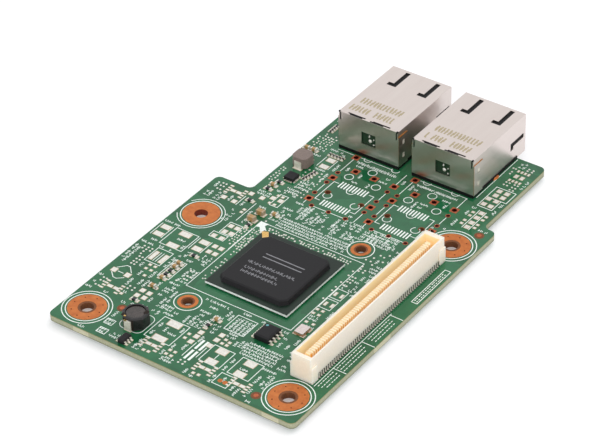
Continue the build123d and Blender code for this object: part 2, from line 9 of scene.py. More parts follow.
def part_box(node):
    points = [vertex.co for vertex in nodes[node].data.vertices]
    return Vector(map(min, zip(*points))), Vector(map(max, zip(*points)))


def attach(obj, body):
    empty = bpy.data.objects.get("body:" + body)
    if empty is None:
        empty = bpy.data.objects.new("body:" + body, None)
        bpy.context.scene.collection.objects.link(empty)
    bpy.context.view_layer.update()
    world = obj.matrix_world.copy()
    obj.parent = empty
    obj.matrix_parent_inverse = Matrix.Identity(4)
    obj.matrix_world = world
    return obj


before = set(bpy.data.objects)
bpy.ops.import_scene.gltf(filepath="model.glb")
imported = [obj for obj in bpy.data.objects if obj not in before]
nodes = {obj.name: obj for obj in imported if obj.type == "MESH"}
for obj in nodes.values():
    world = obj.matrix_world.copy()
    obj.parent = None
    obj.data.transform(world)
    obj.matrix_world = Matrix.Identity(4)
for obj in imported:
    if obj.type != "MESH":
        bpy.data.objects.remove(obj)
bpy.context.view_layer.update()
boardLow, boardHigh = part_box("circuit_board")
print("frame loaded,", len(nodes), "CAD nodes")


# Places are in millimetres from the board's left and front edges, heights from its top face
def onBoard(x, y, z=0.0):
    return Vector((boardLow[0] + x / 1000, boardLow[1] + y / 1000, boardHigh[2] + z / 1000))


def colour(hexValue):
    channels = [int(hexValue[i:i + 2], 16) / 255 for i in (1, 3, 5)]
    return [c / 12.92 if c <= 0.04045 else ((c + 0.055) / 1.055) ** 2.4 for c in channels] + [1.0]


def addNode(tree, kind, inputs=None, **settings):
    node = tree.nodes.new(kind)
    for name, value in settings.items():
        setattr(node, name, value)
    for name, value in (inputs or {}).items():
        if isinstance(value, bpy.types.NodeSocket):
            tree.links.new(value, node.inputs[name])
        else:
            node.inputs[name].default_value = value
    return node


def newMaterial(name):
    material = bpy.data.materials.new(name)
    material.use_nodes = True
    material.node_tree.nodes.clear()
    return material, material.node_tree


# Noises: where their values mostly lie, how fine they are, and their relief as a share of their size
noiseSpan = {"From Min": 0.3, "From Max": 0.7}
speckleDetail = {"Detail": 3.0}
grainDetail = {"Detail": 4.0, "Roughness": 0.6}
reliefShare = 0.1


# Noise of a real size in millimetres, spread over a range of tones
def speckle(tree, place, size, tones):
    noise = addNode(tree, "ShaderNodeTexNoise", {
        "Vector": place.outputs["Object"], "Scale": 1000 / size, **speckleDetail})
    return addNode(tree, "ShaderNodeMapRange", {
        "Value": noise.outputs["Fac"], **noiseSpan, "To Min": tones[0], "To Max": tones[1]})


# Further sockets of the shader that some finishes set
extraSockets = {
    "metallic": "Metallic", "ior": "IOR", "clear": "Transmission Weight", "brushed": "Anisotropic",
}


# A finish whose colour, gloss and relief vary with one grain of a real size in millimetres: dark and light
# colour, grain, least and most roughness, relief
def grainFinish(name, dark, light, grain, roughness, relief, stretch=(1, 1, 1), across=None, **more):
    material, tree = newMaterial(name)
    place = addNode(tree, "ShaderNodeTexCoord")
    stretched = addNode(tree, "ShaderNodeMapping", {"Vector": place.outputs["Object"], "Scale": stretch})
    noise = addNode(tree, "ShaderNodeTexNoise", {
        "Vector": stretched.outputs[0], "Scale": 1000 / grain, **grainDetail})
    spread = addNode(tree, "ShaderNodeMapRange", {"Value": noise.outputs["Fac"], **noiseSpan})
    shade = addNode(tree, "ShaderNodeMix", {
        0: spread.outputs[0], 6: colour(dark), 7: colour(light)}, data_type="RGBA")
    gloss = addNode(tree, "ShaderNodeMapRange", {
        "Value": noise.outputs["Fac"], **noiseSpan, "To Min": roughness[0], "To Max": roughness[1]})
    bump = addNode(tree, "ShaderNodeBump", {
        "Height": noise.outputs["Fac"], "Strength": relief, "Distance": reliefShare * grain / 1000})
    shader = addNode(tree, "ShaderNodeBsdfPrincipled", {
        "Base Color": shade.outputs[2], "Roughness": gloss.outputs[0], "Normal": bump.outputs[0],
        **{extraSockets[key]: value for key, value in more.items()}})
    if across:
        # Reflections are drawn out across the brushing, which runs along y and down the folds
        tangent = addNode(tree, "ShaderNodeCombineXYZ", dict(zip("XYZ", across)))
        tree.links.new(tangent.outputs[0], shader.inputs["Tangent"])
    addNode(tree, "ShaderNodeOutputMaterial", {"Surface": shader.outputs[0]})
    return material


# Green solder mask over glass-fibre laminate: a glossy green skin that mirrors what stands on it, darker and
# lighter where copper areas and traces lie under it, and pale layered fibre where the board was cut
boardFinish = {
    "maskDark": "#114b2d", "maskLight": "#277449", "copperArea": 6.0, "mottle": 2.2,
    "edgeLow": "#7d8167", "edgeMiddle": "#adad90", "edgeHigh": "#848149", "fibre": 0.25,
    "fibreTones": (0.78, 1.1), "edgeHeightStops": (0.35, 0.8), "mottleShare": 0.6, "mottleDetail": 6.0,
    "mottleRoughness": 0.7, "ripple": 0.08, "rippleDepth": 0.03, "flatLean": 0.5, "roughness": 0.07,
    "edgeRoughness": 0.75, "ior": 1.5,
}


def boardMaterial(look):
    material, tree = newMaterial("glossySolderMaskOnLaminate")
    place = addNode(tree, "ShaderNodeTexCoord")
    areas = addNode(tree, "ShaderNodeTexVoronoi", {
        "Vector": place.outputs["Object"], "Scale": 1000 / look["copperArea"]}, distance="CHEBYCHEV")
    areaTone = addNode(tree, "ShaderNodeSeparateColor", {"Color": areas.outputs["Color"]})
    mottle = addNode(tree, "ShaderNodeTexNoise", {
        "Vector": place.outputs["Object"], "Scale": 1000 / look["mottle"], "Detail": look["mottleDetail"],
        "Roughness": look["mottleRoughness"]})
    tone = addNode(tree, "ShaderNodeMix", {
        0: look["mottleShare"], 2: areaTone.outputs[0], 3: mottle.outputs["Fac"]})
    mask = addNode(tree, "ShaderNodeMix", {
        0: tone.outputs[0], 6: colour(look["maskDark"]), 7: colour(look["maskLight"])}, data_type="RGBA")
    spot = addNode(tree, "ShaderNodeSeparateXYZ", {"Vector": place.outputs["Object"]})
    # The cut edge's colour runs with height: darker towards the bottom, pale in the middle, olive at the top
    height = addNode(tree, "ShaderNodeMapRange", {
        "Value": spot.outputs["Z"], "From Min": boardLow[2], "From Max": boardHigh[2]})
    edgeByHeight = addNode(tree, "ShaderNodeValToRGB", {"Fac": height.outputs[0]})
    edgeByHeight.color_ramp.elements[0].color = colour(look["edgeLow"])
    edgeByHeight.color_ramp.elements[1].color = colour(look["edgeHigh"])
    for stop in look["edgeHeightStops"]:
        edgeByHeight.color_ramp.elements.new(stop).color = colour(look["edgeMiddle"])
    fibreTone = speckle(tree, place, look["fibre"], look["fibreTones"])
    edge = addNode(tree, "ShaderNodeMix", {
        0: 1.0, 6: edgeByHeight.outputs["Color"], 7: fibreTone.outputs[0]}, data_type="RGBA", blend_type="MULTIPLY")
    # The cut edge is where the face stands upright
    facing = addNode(tree, "ShaderNodeNewGeometry")
    upright = addNode(tree, "ShaderNodeSeparateXYZ", {"Vector": facing.outputs["Normal"]})
    lean = addNode(tree, "ShaderNodeMath", {0: upright.outputs["Z"]}, operation="ABSOLUTE")
    flat = addNode(tree, "ShaderNodeMath", {
        0: lean.outputs[0], 1: look["flatLean"]}, operation="GREATER_THAN")
    skin = addNode(tree, "ShaderNodeMix", {
        0: flat.outputs[0], 6: edge.outputs[2], 7: mask.outputs[2]}, data_type="RGBA")
    gloss = addNode(tree, "ShaderNodeMapRange", {
        "Value": flat.outputs[0], "To Min": look["edgeRoughness"], "To Max": look["roughness"]})
    ripple = addNode(tree, "ShaderNodeBump", {
        "Height": mottle.outputs["Fac"], "Strength": look["ripple"], "Distance": look["rippleDepth"] / 1000})
    shader = addNode(tree, "ShaderNodeBsdfPrincipled", {
        "Base Color": skin.outputs[2], "Roughness": gloss.outputs[0], "Normal": ripple.outputs[0],
        "IOR": look["ior"]})
    addNode(tree, "ShaderNodeOutputMaterial", {"Surface": shader.outputs[0]})
    return material


# Chip substrate: a dark masked top and the pale cut edge of thin laminate round it
substrateFinish = {
    "top": "#10241a", "edge": "#ffffff", "roughness": 0.35, "ior": 1.4, "grain": 0.6,
    "tones": (0.85, 1.1), "skin": 0.02}


def substrateMaterial(look):
    material, tree = newMaterial("chipSubstrateLaminate")
    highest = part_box("controller_substrate")[1]
    place = addNode(tree, "ShaderNodeTexCoord")
    spot = addNode(tree, "ShaderNodeSeparateXYZ", {"Vector": place.outputs["Object"]})
    topFace = addNode(tree, "ShaderNodeMath", {
        0: spot.outputs["Z"], 1: highest[2] - look["skin"] / 1000}, operation="GREATER_THAN")
    grainTone = speckle(tree, place, look["grain"], look["tones"])
    skin = addNode(tree, "ShaderNodeMix", {
        0: topFace.outputs[0], 6: colour(look["edge"]), 7: colour(look["top"])}, data_type="RGBA")
    shade = addNode(tree, "ShaderNodeMix", {
        0: 1.0, 6: skin.outputs[2], 7: grainTone.outputs[0]}, data_type="RGBA", blend_type="MULTIPLY")
    shader = addNode(tree, "ShaderNodeBsdfPrincipled", {
        "Base Color": shade.outputs[2], "Roughness": look["roughness"], "IOR": look["ior"]})
    addNode(tree, "ShaderNodeOutputMaterial", {"Surface": shader.outputs[0]})
    return material


# Liquid crystal polymer of the connector: cream and a little translucent, with a warmer tan painted in its
# cavity and on the tongue for the light that comes back off the gold
connectorFinish = {
    "outside": "#f9ecdb", "cavity": "#f9deb1", "paintedThroughGlow": 0.16, "wall": 0.49, "endWall": 1.19,
    "foot": 0.4, "grain": 0.5, "tones": (0.96, 1.02), "roughness": 0.45, "softness": 0.8, "lightDepth": 2.0,
    "lightReach": (1.0, 0.9, 0.78),
}


def connectorMaterial(look):
    material, tree = newMaterial("creamLiquidCrystalPolymer")
    lowest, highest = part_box("mezzanine_housing")
    place = addNode(tree, "ShaderNodeTexCoord")
    spot = addNode(tree, "ShaderNodeSeparateXYZ", {"Vector": place.outputs["Object"]})
    inside = None
    for axis, wall in (("X", look["wall"] + look["foot"]), ("Y", look["endWall"])):
        at = "XY".index(axis)
        middle = (lowest[at] + highest[at]) / 2
        shift = addNode(tree, "ShaderNodeMath", {0: spot.outputs[axis], 1: middle}, operation="SUBTRACT")
        off = addNode(tree, "ShaderNodeMath", {0: shift.outputs[0]}, operation="ABSOLUTE")
        within = addNode(tree, "ShaderNodeMath", {
            0: off.outputs[0], 1: highest[at] - middle - wall / 1000}, operation="LESS_THAN")
        if inside:
            within = addNode(tree, "ShaderNodeMath", {
                0: inside.outputs[0], 1: within.outputs[0]}, operation="MULTIPLY")
        inside = within
    grainTone = speckle(tree, place, look["grain"], look["tones"])
    skin = addNode(tree, "ShaderNodeMix", {
        0: inside.outputs[0], 6: colour(look["outside"]), 7: colour(look["cavity"])}, data_type="RGBA")
    shade = addNode(tree, "ShaderNodeMix", {
        0: 1.0, 6: skin.outputs[2], 7: grainTone.outputs[0]}, data_type="RGBA", blend_type="MULTIPLY")
    # Painted glow: the cavity emits a little light of its own colour, standing for light that has come
    # through the thin walls
    paintedGlowStrength = addNode(tree, "ShaderNodeMath", {
        0: inside.outputs[0], 1: look["paintedThroughGlow"]}, operation="MULTIPLY")
    shader = addNode(tree, "ShaderNodeBsdfPrincipled", {
        "Base Color": shade.outputs[2], "Roughness": look["roughness"], "Subsurface Weight": look["softness"],
        "Emission Color": colour(look["cavity"]), "Emission Strength": paintedGlowStrength.outputs[0],
        "Subsurface Radius": look["lightReach"], "Subsurface Scale": look["lightDepth"] / 1000})
    addNode(tree, "ShaderNodeOutputMaterial", {"Surface": shader.outputs[0]})
    return material


# Contacts: gold flash on the blades, matt tin on the legs, and green lacquer over the soldered tails
contactFinish = {
    "gold": "#f0bd72", "tin": "#e4e1d8", "lacquer": "#2a7349", "changeHeight": 1.2, "changeHalf": 0.2,
    "legReach": 3.0, "metallic": 0.8, "roughness": 0.4,
}


def contactMaterial(look):
    material, tree = newMaterial("goldFlashedContact")
    place = addNode(tree, "ShaderNodeTexCoord")
    spot = addNode(tree, "ShaderNodeSeparateXYZ", {"Vector": place.outputs["Object"]})
    plated = addNode(tree, "ShaderNodeMapRange", {
        "Value": spot.outputs["Z"],
        "From Min": boardHigh[2] + (look["changeHeight"] - look["changeHalf"]) / 1000,
        "From Max": boardHigh[2] + (look["changeHeight"] + look["changeHalf"]) / 1000})
    lowest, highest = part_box("mezzanine_housing")
    shift = addNode(tree, "ShaderNodeMath", {
        0: spot.outputs["X"], 1: (lowest[0] + highest[0]) / 2}, operation="SUBTRACT")
    off = addNode(tree, "ShaderNodeMath", {0: shift.outputs[0]}, operation="ABSOLUTE")
    tail = addNode(tree, "ShaderNodeMath", {
        0: off.outputs[0], 1: look["legReach"] / 1000}, operation="GREATER_THAN")
    metal = addNode(tree, "ShaderNodeMix", {
        0: plated.outputs[0], 6: colour(look["tin"]), 7: colour(look["gold"])}, data_type="RGBA")
    shade = addNode(tree, "ShaderNodeMix", {
        0: tail.outputs[0], 6: metal.outputs[2], 7: colour(look["lacquer"])}, data_type="RGBA")
    bare = addNode(tree, "ShaderNodeMath", {
        0: look["metallic"], 1: tail.outputs[0]}, operation="SUBTRACT", use_clamp=True)
    shader = addNode(tree, "ShaderNodeBsdfPrincipled", {
        "Base Color": shade.outputs[2], "Roughness": look["roughness"], "Metallic": bare.outputs[0]})
    addNode(tree, "ShaderNodeOutputMaterial", {"Surface": shader.outputs[0]})
    return material


boardSkin = boardMaterial(boardFinish)
substrateSkin = substrateMaterial(substrateFinish)
connectorSkin = connectorMaterial(connectorFinish)
contactSkin = contactMaterial(contactFinish)

# The same polymer on the thin ribs of the tongue, too thin for light to wander in
ribPolymer = grainFinish("creamPolymerRib", "#fbe6bd", "#fff2d6", 0.5, (0.4, 0.5), 0.05, ior=1.5)
# Bare copper with an organic coat: bright matt orange, a little blotched
bareCopper = grainFinish("coatedBareCopper", "#bd6a38", "#d68449", 1.4, (0.42, 0.55), 0.05, metallic=0.7)
# Drilled laminate and plated barrels: dull brown with the grain of cut glass fibre
drilledLaminate = grainFinish("drilledLaminate", "#5c331a", "#875431", 0.3, (0.6, 0.8), 0.2, ior=1.5)
# Dark red-brown of small plated holes: the copper of their barrels with the shade of the hole's depth painted
# in, used too on flat discs that stand for open holes
viaBarrelAndHoleShade = grainFinish("viaBarrelWithPaintedHoleShade", "#2c0806", "#430e0a", 0.2, (0.6, 0.8), 0.1, ior=1.2)
# Plated wall of the earthed mounting hole: copper gone red-brown
platedBarrel = grainFinish("platedBarrel", "#6e2716", "#983f27", 0.4, (0.4, 0.55), 0.1, metallic=0.4)
# Moulded epoxy chip bodies: charcoal, nearly black, with the fine matt skin of the mould
mouldedEpoxy = grainFinish("mouldedEpoxy", "#0d0c0f", "#161519", 0.15, (0.5, 0.62), 0.12, ior=1.4)
# Tin plate and solder: soft pale grey, a little uneven
tinSolder = grainFinish("reflowedTinSolder", "#dad7cf", "#f4f1ea", 0.5, (0.3, 0.45), 0.1, metallic=0.55)
# Tinned steel sheet of the jacks: pale warm grey with rolling marks along its length
tinnedSheet = grainFinish(
    "tinnedSteelSheet", "#dacfca", "#dfd5d0", 6.0, (0.28, 0.32), 0.0, stretch=(3, 0.4, 3), metallic=1.0,
    brushed=0.85, across=(1.0, 0.0, 0.05))
# Black polyester of the jacks: deep black with a faint satin skin
blackPlastic = grainFinish("blackMouldedPolyester", "#070707", "#0d0d0e", 0.3, (0.5, 0.65), 0.1, ior=1.35)
# Light pipes: clear, faintly green acrylic
lensPlastic = grainFinish(
    "clearAcrylicLightPipe", "#d3e2cf", "#e4efe0", 2.0, (0.08, 0.15), 0.02, ior=1.49, clear=0.6)
# Sintered ferrite: dark grey with a faint sparkle of ground grains
ferrite = grainFinish("sinteredFerrite", "#0c0b0c", "#1a171a", 0.35, (0.25, 0.4), 0.15, ior=1.55)
# The drum's ground face: browner and shinier than its shell
groundFerrite = grainFinish("groundFerriteFace", "#2b2523", "#463d3a", 0.8, (0.22, 0.34), 0.1, ior=1.6)
# Pressed iron powder: brown-grey, matt and speckled
ironPowder = grainFinish("pressedIronPowder", "#6b5c56", "#897a73", 0.25, (0.5, 0.7), 0.25, ior=1.6)
# Fired barium titanate of the chip capacitors: smooth tan
capacitorCeramic = grainFinish("firedCapacitorCeramic", "#9c7746", "#bf9a66", 0.3, (0.35, 0.5), 0.05, ior=1.6)
# Glass coat of the chip resistors: near-black with a soft gloss
resistorCoat = grainFinish("resistorGlassCoat", "#17171a", "#25252a", 0.2, (0.25, 0.4), 0.05, ior=1.5)
# Alumina base of the crystal: warm brown and matt
crystalCeramic = grainFinish("crystalAluminaBase", "#9c6b4a", "#bb8862", 0.3, (0.5, 0.65), 0.1, ior=1.7)
# Nickel lid seam-welded on the crystal
lidMetal = grainFinish("nickelLid", "#d8cac7", "#e8dbd8", 0.6, (0.2, 0.32), 0.04, metallic=1.0)
# Copper of the unused sockets, darkened red by the heat of soldering
redCopper = grainFinish("heatDarkenedCopper", "#a8502f", "#c8704d", 0.6, (0.4, 0.55), 0.08, metallic=0.5)
# Edges of the lands, where copper and dried flux show brown round the tin
fluxedCopper = grainFinish("fluxedCopperEdge", "#b9a284", "#d6c6ab", 0.5, (0.45, 0.6), 0.08, metallic=0.3)
# Bright tin on bent terminals and latches
tinnedClip = grainFinish("brightTinnedClip", "#d9d2c2", "#f3eee2", 0.7, (0.3, 0.42), 0.05, metallic=0.3)
# Fired silver ends of the large capacitors: dull tan-grey
firedSilver = grainFinish("firedSilverEnd", "#a48d72", "#c3ad92", 0.4, (0.35, 0.5), 0.08, metallic=0.3)
# Near-black brown of painted shade, standing for the dark between the leads under the connector and in the
# gaps of the inductor
gapShadeBrown = grainFinish("paintedGapShadeBrown", "#150d08", "#24170e", 0.3, (0.6, 0.8), 0.1, ior=1.4)
# Rough pale fibre where the card was snapped out of its panel
snappedFibre = grainFinish("snappedGlassFibre", "#b9b596", "#d0ccb1", 0.2, (0.7, 0.9), 0.4, ior=1.5)
# Small board in the jack: dull dark green
innerMask = grainFinish("jackBoardMask", "#0c2413", "#17381f", 0.8, (0.3, 0.45), 0.05, ior=1.5)
# Screen-printed epoxy ink: flat near-white with a mint cast from the mask under it
screenInk = grainFinish("screenPrintedInk", "#e9f3ec", "#fbfffc", 0.4, (0.55, 0.7), 0.1, ior=1.5)
# Thin orange lines on the cut edges of the sheet: partly its bronze core showing, partly painted glint
edgeMetalAndGlint = grainFinish("cutEdgeMetalAndGlint", "#a3641a", "#c98a34", 0.4, (0.35, 0.45), 0.05, metallic=1.0)
# Laser-etched tin: the marks are dull tan against the bright sheet
etchedTin = grainFinish("laserEtchedTin", "#ac9e82", "#c6b99c", 0.3, (0.5, 0.65), 0.1, metallic=0.6)
# Laser-marked epoxy: grey strokes, a little rougher than the cap round them
laserGrey = grainFinish("laserMarkedEpoxy", "#75757a", "#939398", 0.2, (0.6, 0.75), 0.1, ior=1.5)
# Pin mark in teal ink: a flat, dull spot of colour
tealInk = grainFinish("tealPinMark", "#4f8f92", "#6fb0b2", 0.3, (0.5, 0.6), 0.05, ior=1.5)
# Gold flash on springs and strips: bright and warm with a soft sheen
goldFlash = grainFinish("goldFlash", "#dcae5e", "#f0c98a", 0.5, (0.25, 0.35), 0.05, metallic=1.0)

nodeFinish = {}
for material, names in (
        (boardSkin, "circuit_board"),
        (bareCopper, "mounting_pads heat_sink_rings"),
        (redCopper, "fiducial_dots spare_socket_pads"),
        (tinSolder,
         "controller_balls driver_chip_lands small_capacitor_ends resistor_ends tiny_resistor_ends"),
        (substrateSkin, "controller_substrate"),
        (mouldedEpoxy, "controller_cap memory_chip_body regulator_chip_body driver_chip_body"),
        (connectorSkin, "mezzanine_housing"),
        (contactSkin, "mezzanine_contacts_left mezzanine_contacts_right"),
        (ferrite, "inductor_shell"),
        (groundFerrite, "inductor_core"),
        (tinnedClip, "inductor_clips moulded_inductor_clips memory_chip_leads regulator_chip_leads"),
        (ironPowder, "moulded_inductor"),
        (crystalCeramic, "crystal_base"),
        (lidMetal, "crystal_lid"),
        (capacitorCeramic, "large_capacitor_bodies small_capacitor_bodies"),
        (firedSilver, "large_capacitor_ends"),
        (resistorCoat, "resistor_bodies tiny_resistor_bodies"),
):
    nodeFinish.update(dict.fromkeys(names.split(), material))
for side in ("left", "right"):
    nodeFinish.update({
        f"{side}_jack_shield": tinnedSheet, f"{side}_jack_inner_board": innerMask,
        f"{side}_jack_housing": blackPlastic, f"{side}_jack_lenses": lensPlastic,
        f"{side}_jack_springs": goldFlash, f"{side}_jack_pins": tinSolder})
for name, material in nodeFinish.items():
    nodes[name].data.materials.clear()
    nodes[name].data.materials.append(material)
print("finishes on", len(nodeFinish), "CAD nodes")


def newTree(name, inputs):
    tree = bpy.data.node_groups.new(name, "GeometryNodeTree")
    tree.is_modifier = True
    tree.interface.new_socket("Geometry", in_out="INPUT", socket_type="NodeSocketGeometry")
    tree.interface.new_socket("Geometry", in_out="OUTPUT", socket_type="NodeSocketGeometry")
    for label, kind in inputs.items():
        tree.interface.new_socket(label, in_out="INPUT", socket_type=kind)
    return tree, addNode(tree, "NodeGroupInput")


# Puts one shape on every point, with the point's own size and turn, and ends as a plain mesh
def endTree(tree, given, shape):
    size = addNode(tree, "GeometryNodeInputNamedAttribute", {"Name": "size"}, data_type="FLOAT_VECTOR")
    turn = addNode(tree, "GeometryNodeInputNamedAttribute", {"Name": "turn"}, data_type="FLOAT_VECTOR")
    spin = addNode(tree, "FunctionNodeEulerToRotation", {"Euler": turn.outputs[0]})
    placed = addNode(tree, "GeometryNodeInstanceOnPoints", {
        "Points": given.outputs["Geometry"], "Instance": shape, "Rotation": spin.outputs[0],
        "Scale": size.outputs[0]})
    return addNode(tree, "GeometryNodeRealizeInstances", {"Geometry": placed.outputs[0]})


def paintTree(tree, given, shape):
    painted = addNode(tree, "GeometryNodeSetMaterial", {
        "Geometry": shape, "Material": given.outputs["Material"]})
    addNode(tree, "NodeGroupOutput", {"Geometry": painted.outputs[0]})


# Flat bars: ink strokes, etched marks
barTree, given = newTree("flatBars", {"Height": "NodeSocketFloat", "Material": "NodeSocketMaterial"})
barSize = addNode(barTree, "ShaderNodeCombineXYZ", {"X": 1.0, "Y": 1.0, "Z": given.outputs["Height"]})
bar = addNode(barTree, "GeometryNodeMeshCube", {"Size": barSize.outputs[0]})
paintTree(barTree, given, endTree(barTree, given, bar.outputs[0]).outputs[0])

# Low pads with sloping sides: lands, dots, solder cones
padTree, given = newTree("lowPads", {
    "Sides": "NodeSocketInt", "Top share": "NodeSocketFloat", "Height": "NodeSocketFloat",
    "Quarter turn": "NodeSocketFloat", "Material": "NodeSocketMaterial"})
reach = addNode(padTree, "ShaderNodeMath", {0: math.pi, 1: given.outputs["Sides"]}, operation="DIVIDE")
inner = addNode(padTree, "ShaderNodeMath", {0: reach.outputs[0]}, operation="COSINE")
outer = addNode(padTree, "ShaderNodeMath", {0: 0.5, 1: inner.outputs[0]}, operation="DIVIDE")
upper = addNode(padTree, "ShaderNodeMath", {
    0: outer.outputs[0], 1: given.outputs["Top share"]}, operation="MULTIPLY")
pad = addNode(padTree, "GeometryNodeMeshCone", {
    "Vertices": given.outputs["Sides"], "Radius Top": upper.outputs[0], "Radius Bottom": outer.outputs[0],
    "Depth": given.outputs["Height"]})
padTurn = addNode(padTree, "ShaderNodeCombineXYZ", {"Z": given.outputs["Quarter turn"]})
squared = addNode(padTree, "GeometryNodeTransform", {
    "Geometry": pad.outputs[0], "Rotation": padTurn.outputs[0]})
paintTree(padTree, given, endTree(padTree, given, squared.outputs[0]).outputs[0])

# Rings of a square section: hole linings, washers of bare laminate, collars of copper
ringTree, given = newTree("squareRings", {
    "Width": "NodeSocketFloat", "Height": "NodeSocketFloat", "Sides": "NodeSocketInt",
    "Material": "NodeSocketMaterial"})
circle = addNode(ringTree, "GeometryNodeCurvePrimitiveCircle", {
    "Resolution": given.outputs["Sides"], "Radius": 1.0})
loops = endTree(ringTree, given, circle.outputs[0])
section = addNode(ringTree, "GeometryNodeCurvePrimitiveQuadrilateral", {
    "Width": given.outputs["Width"], "Height": given.outputs["Height"]})
swept = addNode(ringTree, "GeometryNodeCurveToMesh", {
    "Curve": loops.outputs[0], "Profile Curve": section.outputs[0]})
paintTree(ringTree, given, swept.outputs[0])


# Runs a tree on points with a size and a turn each, and keeps the result as a plain closed mesh
def growPiece(name, tree, points, values):
    seeds = bpy.data.meshes.new(name + "Points")
    seeds.from_pydata([point[0] for point in points], [], [])
    for label, index in (("size", 1), ("turn", 2)):
        field = seeds.attributes.new(label, "FLOAT_VECTOR", "POINT")
        for i, point in enumerate(points):
            field.data[i].vector = point[index]
    piece = bpy.data.objects.new(name, seeds)
    bpy.context.scene.collection.objects.link(piece)
    modifier = piece.modifiers.new("grow", "NODES")
    modifier.node_group = tree
    for item in tree.interface.items_tree:
        if item.in_out == "INPUT" and item.name in values:
            modifier[item.identifier] = values[item.name]
    grown = piece.evaluated_get(bpy.context.evaluated_depsgraph_get())
    result = bpy.data.meshes.new_from_object(grown)
    piece.modifiers.clear()
    piece.data = result
    bpy.data.meshes.remove(seeds)
    result.name = name
    shell = bmesh.new()
    shell.from_mesh(result)
    if shell.calc_volume(signed=True) < 0:
        bmesh.ops.reverse_faces(shell, faces=shell.faces)
    for face in shell.faces:
        face.smooth = False
    shell.to_mesh(result)
    shell.free()
    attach(piece, "root")
    print(name, len(points), "places,", len(result.polygons), "faces")


def mm(*values):
    return tuple(value / 1000 for value in values)


# A place for a tree: its middle and its size along x and y, in millimetres
def flatPoint(x, y, wide, deep, z=0.0, turn=(0, 0, 0)):
    return (onBoard(x, y, z), (*mm(wide, deep), 1.0), turn)


def ringPoints(places, radius, z=0.0):
    return [flatPoint(x, y, radius, radius, z) for x, y in places]


def growBars(name, points, height, material):
    growPiece(name, barTree, points, {"Height": height / 1000, "Material": material})


# The shape is the number of sides, the top's share of the foot and the height. Square pads follow the axes.
def growPads(name, points, shape, material):
    sides, topShare, height = shape
    growPiece(name, padTree, points, {
        "Sides": sides, "Top share": topShare, "Height": height / 1000,
        "Quarter turn": math.pi / 4 if sides == 4 else 0.0, "Material": material})


# The shape is the width and height of the section and the number of sides
def growRings(name, points, shape, material):
    width, height, sides = shape
    growPiece(name, ringTree, points, {
        "Width": width / 1000, "Height": height / 1000, "Sides": sides, "Material": material})


# Crossing strokes differ a little in height, so that no two faces lie in one plane
def unevenStrokes(points, step, chance):
    return [(spot + Vector((0, 0, chance.random() * step / 1000)), size, turn) for spot, size, turn in points]


